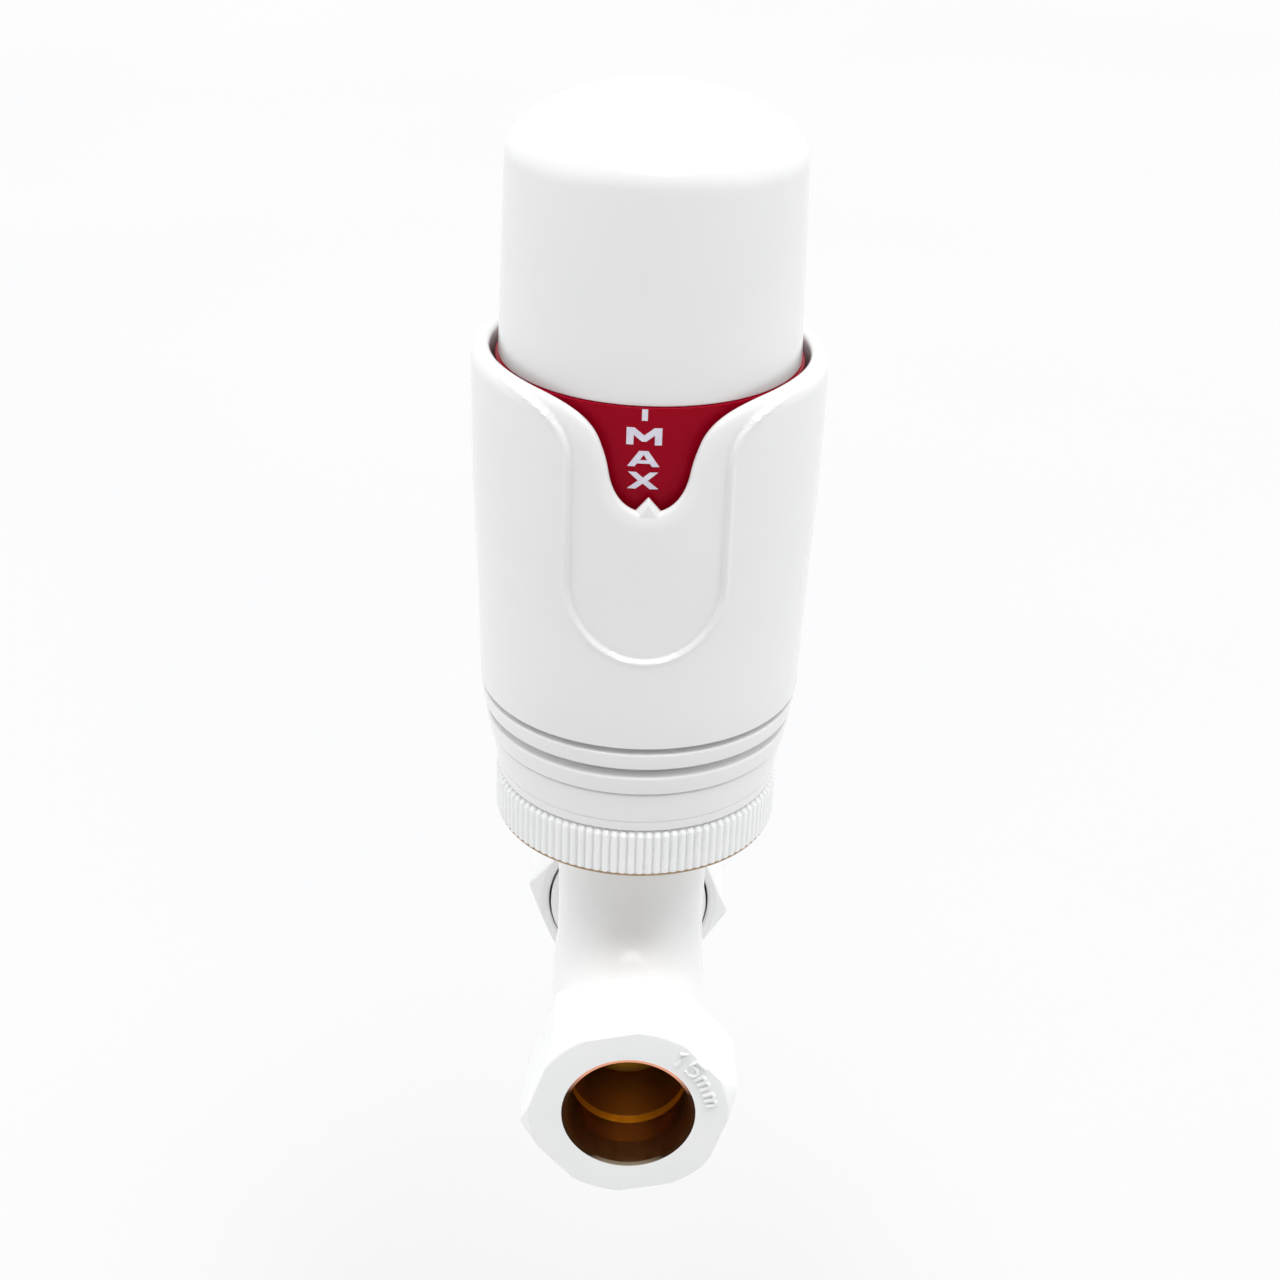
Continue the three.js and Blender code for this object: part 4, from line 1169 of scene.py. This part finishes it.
# ---- stage
def floor():
    """Plain pale floor far below the valve."""
    lowest = cad_box[0].z - FLOOR_DROP * MM
    reach = 40.0  # metres, so that its edge lies at the horizon
    mesh = bpy.data.meshes.new("floor")
    corners = [(-reach, -reach), (reach, -reach), (reach, reach), (-reach, reach)]
    mesh.from_pydata([(x, y, lowest) for x, y in corners], [], [(0, 1, 2, 3)])
    mesh.materials.append(floor_paper())
    sheet = bpy.data.objects.new("floor", mesh)
    bpy.context.scene.collection.objects.link(sheet)


def sky():
    """Bright tent of light with a darker patch where the photographer stands."""
    world = bpy.data.worlds.new("studio")
    world.use_nodes = True
    tree = world.node_tree
    link = tree.links.new

    def vector_math(operation, source, second=(0, 0, 0)):
        node = tree.nodes.new("ShaderNodeVectorMath")
        node.operation = operation
        node.inputs[1].default_value = second
        link(source, node.inputs[0])
        return node.outputs

    place = tree.nodes.new("ShaderNodeTexCoord").outputs["Generated"]
    wide = vector_math("MULTIPLY", place, (1, 1, 1.7))["Vector"]  # the patch is wider than high
    unit = vector_math("NORMALIZE", wide)["Vector"]
    facing = vector_math("DOT_PRODUCT", unit, (0, -1, 0))["Value"]
    level = tree.nodes.new("ShaderNodeMapRange")
    level.interpolation_type = "SMOOTHSTEP"
    for name, value in {"From Min": 0.2, "From Max": 0.85, "To Min": 1.09, "To Max": 0.0}.items():
        level.inputs[name].default_value = value
    rays = tree.nodes.new("ShaderNodeLightPath")
    seen = tree.nodes.new("ShaderNodeMix")
    seen.inputs["B"].default_value = 0.96  # plain pale backdrop behind the floor's far edge
    background = tree.nodes["Background"]
    background.inputs["Color"].default_value = (0.985, 0.99, 1.0, 1)
    link(facing, level.inputs["Value"])
    link(rays.outputs["Is Camera Ray"], seen.inputs["Factor"])
    link(level.outputs["Result"], seen.inputs["A"])
    link(seen.outputs["Result"], background.inputs["Strength"])
    bpy.context.scene.world = world


def sun():
    """Large soft light from above, a little in front."""
    light = bpy.data.lights.new("sun", "SUN")
    light.angle = math.radians(45)
    light.energy = 1.65
    holder = bpy.data.objects.new("sun", light)
    holder.rotation_euler = (math.radians(16), math.radians(3), 0)
    bpy.context.scene.collection.objects.link(holder)


def camera():
    """Camera above the pipe's side, where the photographer stood."""
    data = bpy.data.cameras.new("camera")
    data.lens = 61.69
    data.sensor_width = 36
    data.clip_start, data.clip_end = 0.01, 100
    holder = bpy.data.objects.new("camera", data)
    pitch, roll, yaw = math.radians(27.54), math.radians(2.02), math.radians(-1.2)
    distance, height = 0.2529, 0.1846  # metres in front of the head's axis and above the pipe's
    place = Matrix.Translation((0, -distance, height))
    aim = Matrix.Rotation(math.pi / 2 - pitch, 4, "X") @ Matrix.Rotation(roll, 4, "Z")
    holder.matrix_world = Matrix.Rotation(yaw, 4, "Z") @ place @ aim
    bpy.context.scene.collection.objects.link(holder)
    bpy.context.scene.camera = holder


# ---- build
camera()
cap()
scale_ring()
scale_legend()
outer_sleeve()
pointer()
head_base()
knurled_collar()
valve_body()
pipe_socket()
compression_nut()
union_nut()
radiator_tail()
tail_seal()
olive()
return_spring()
finish_nodes()
floor()
sky()
sun()
bpy.context.scene.view_settings.view_transform = "Standard"
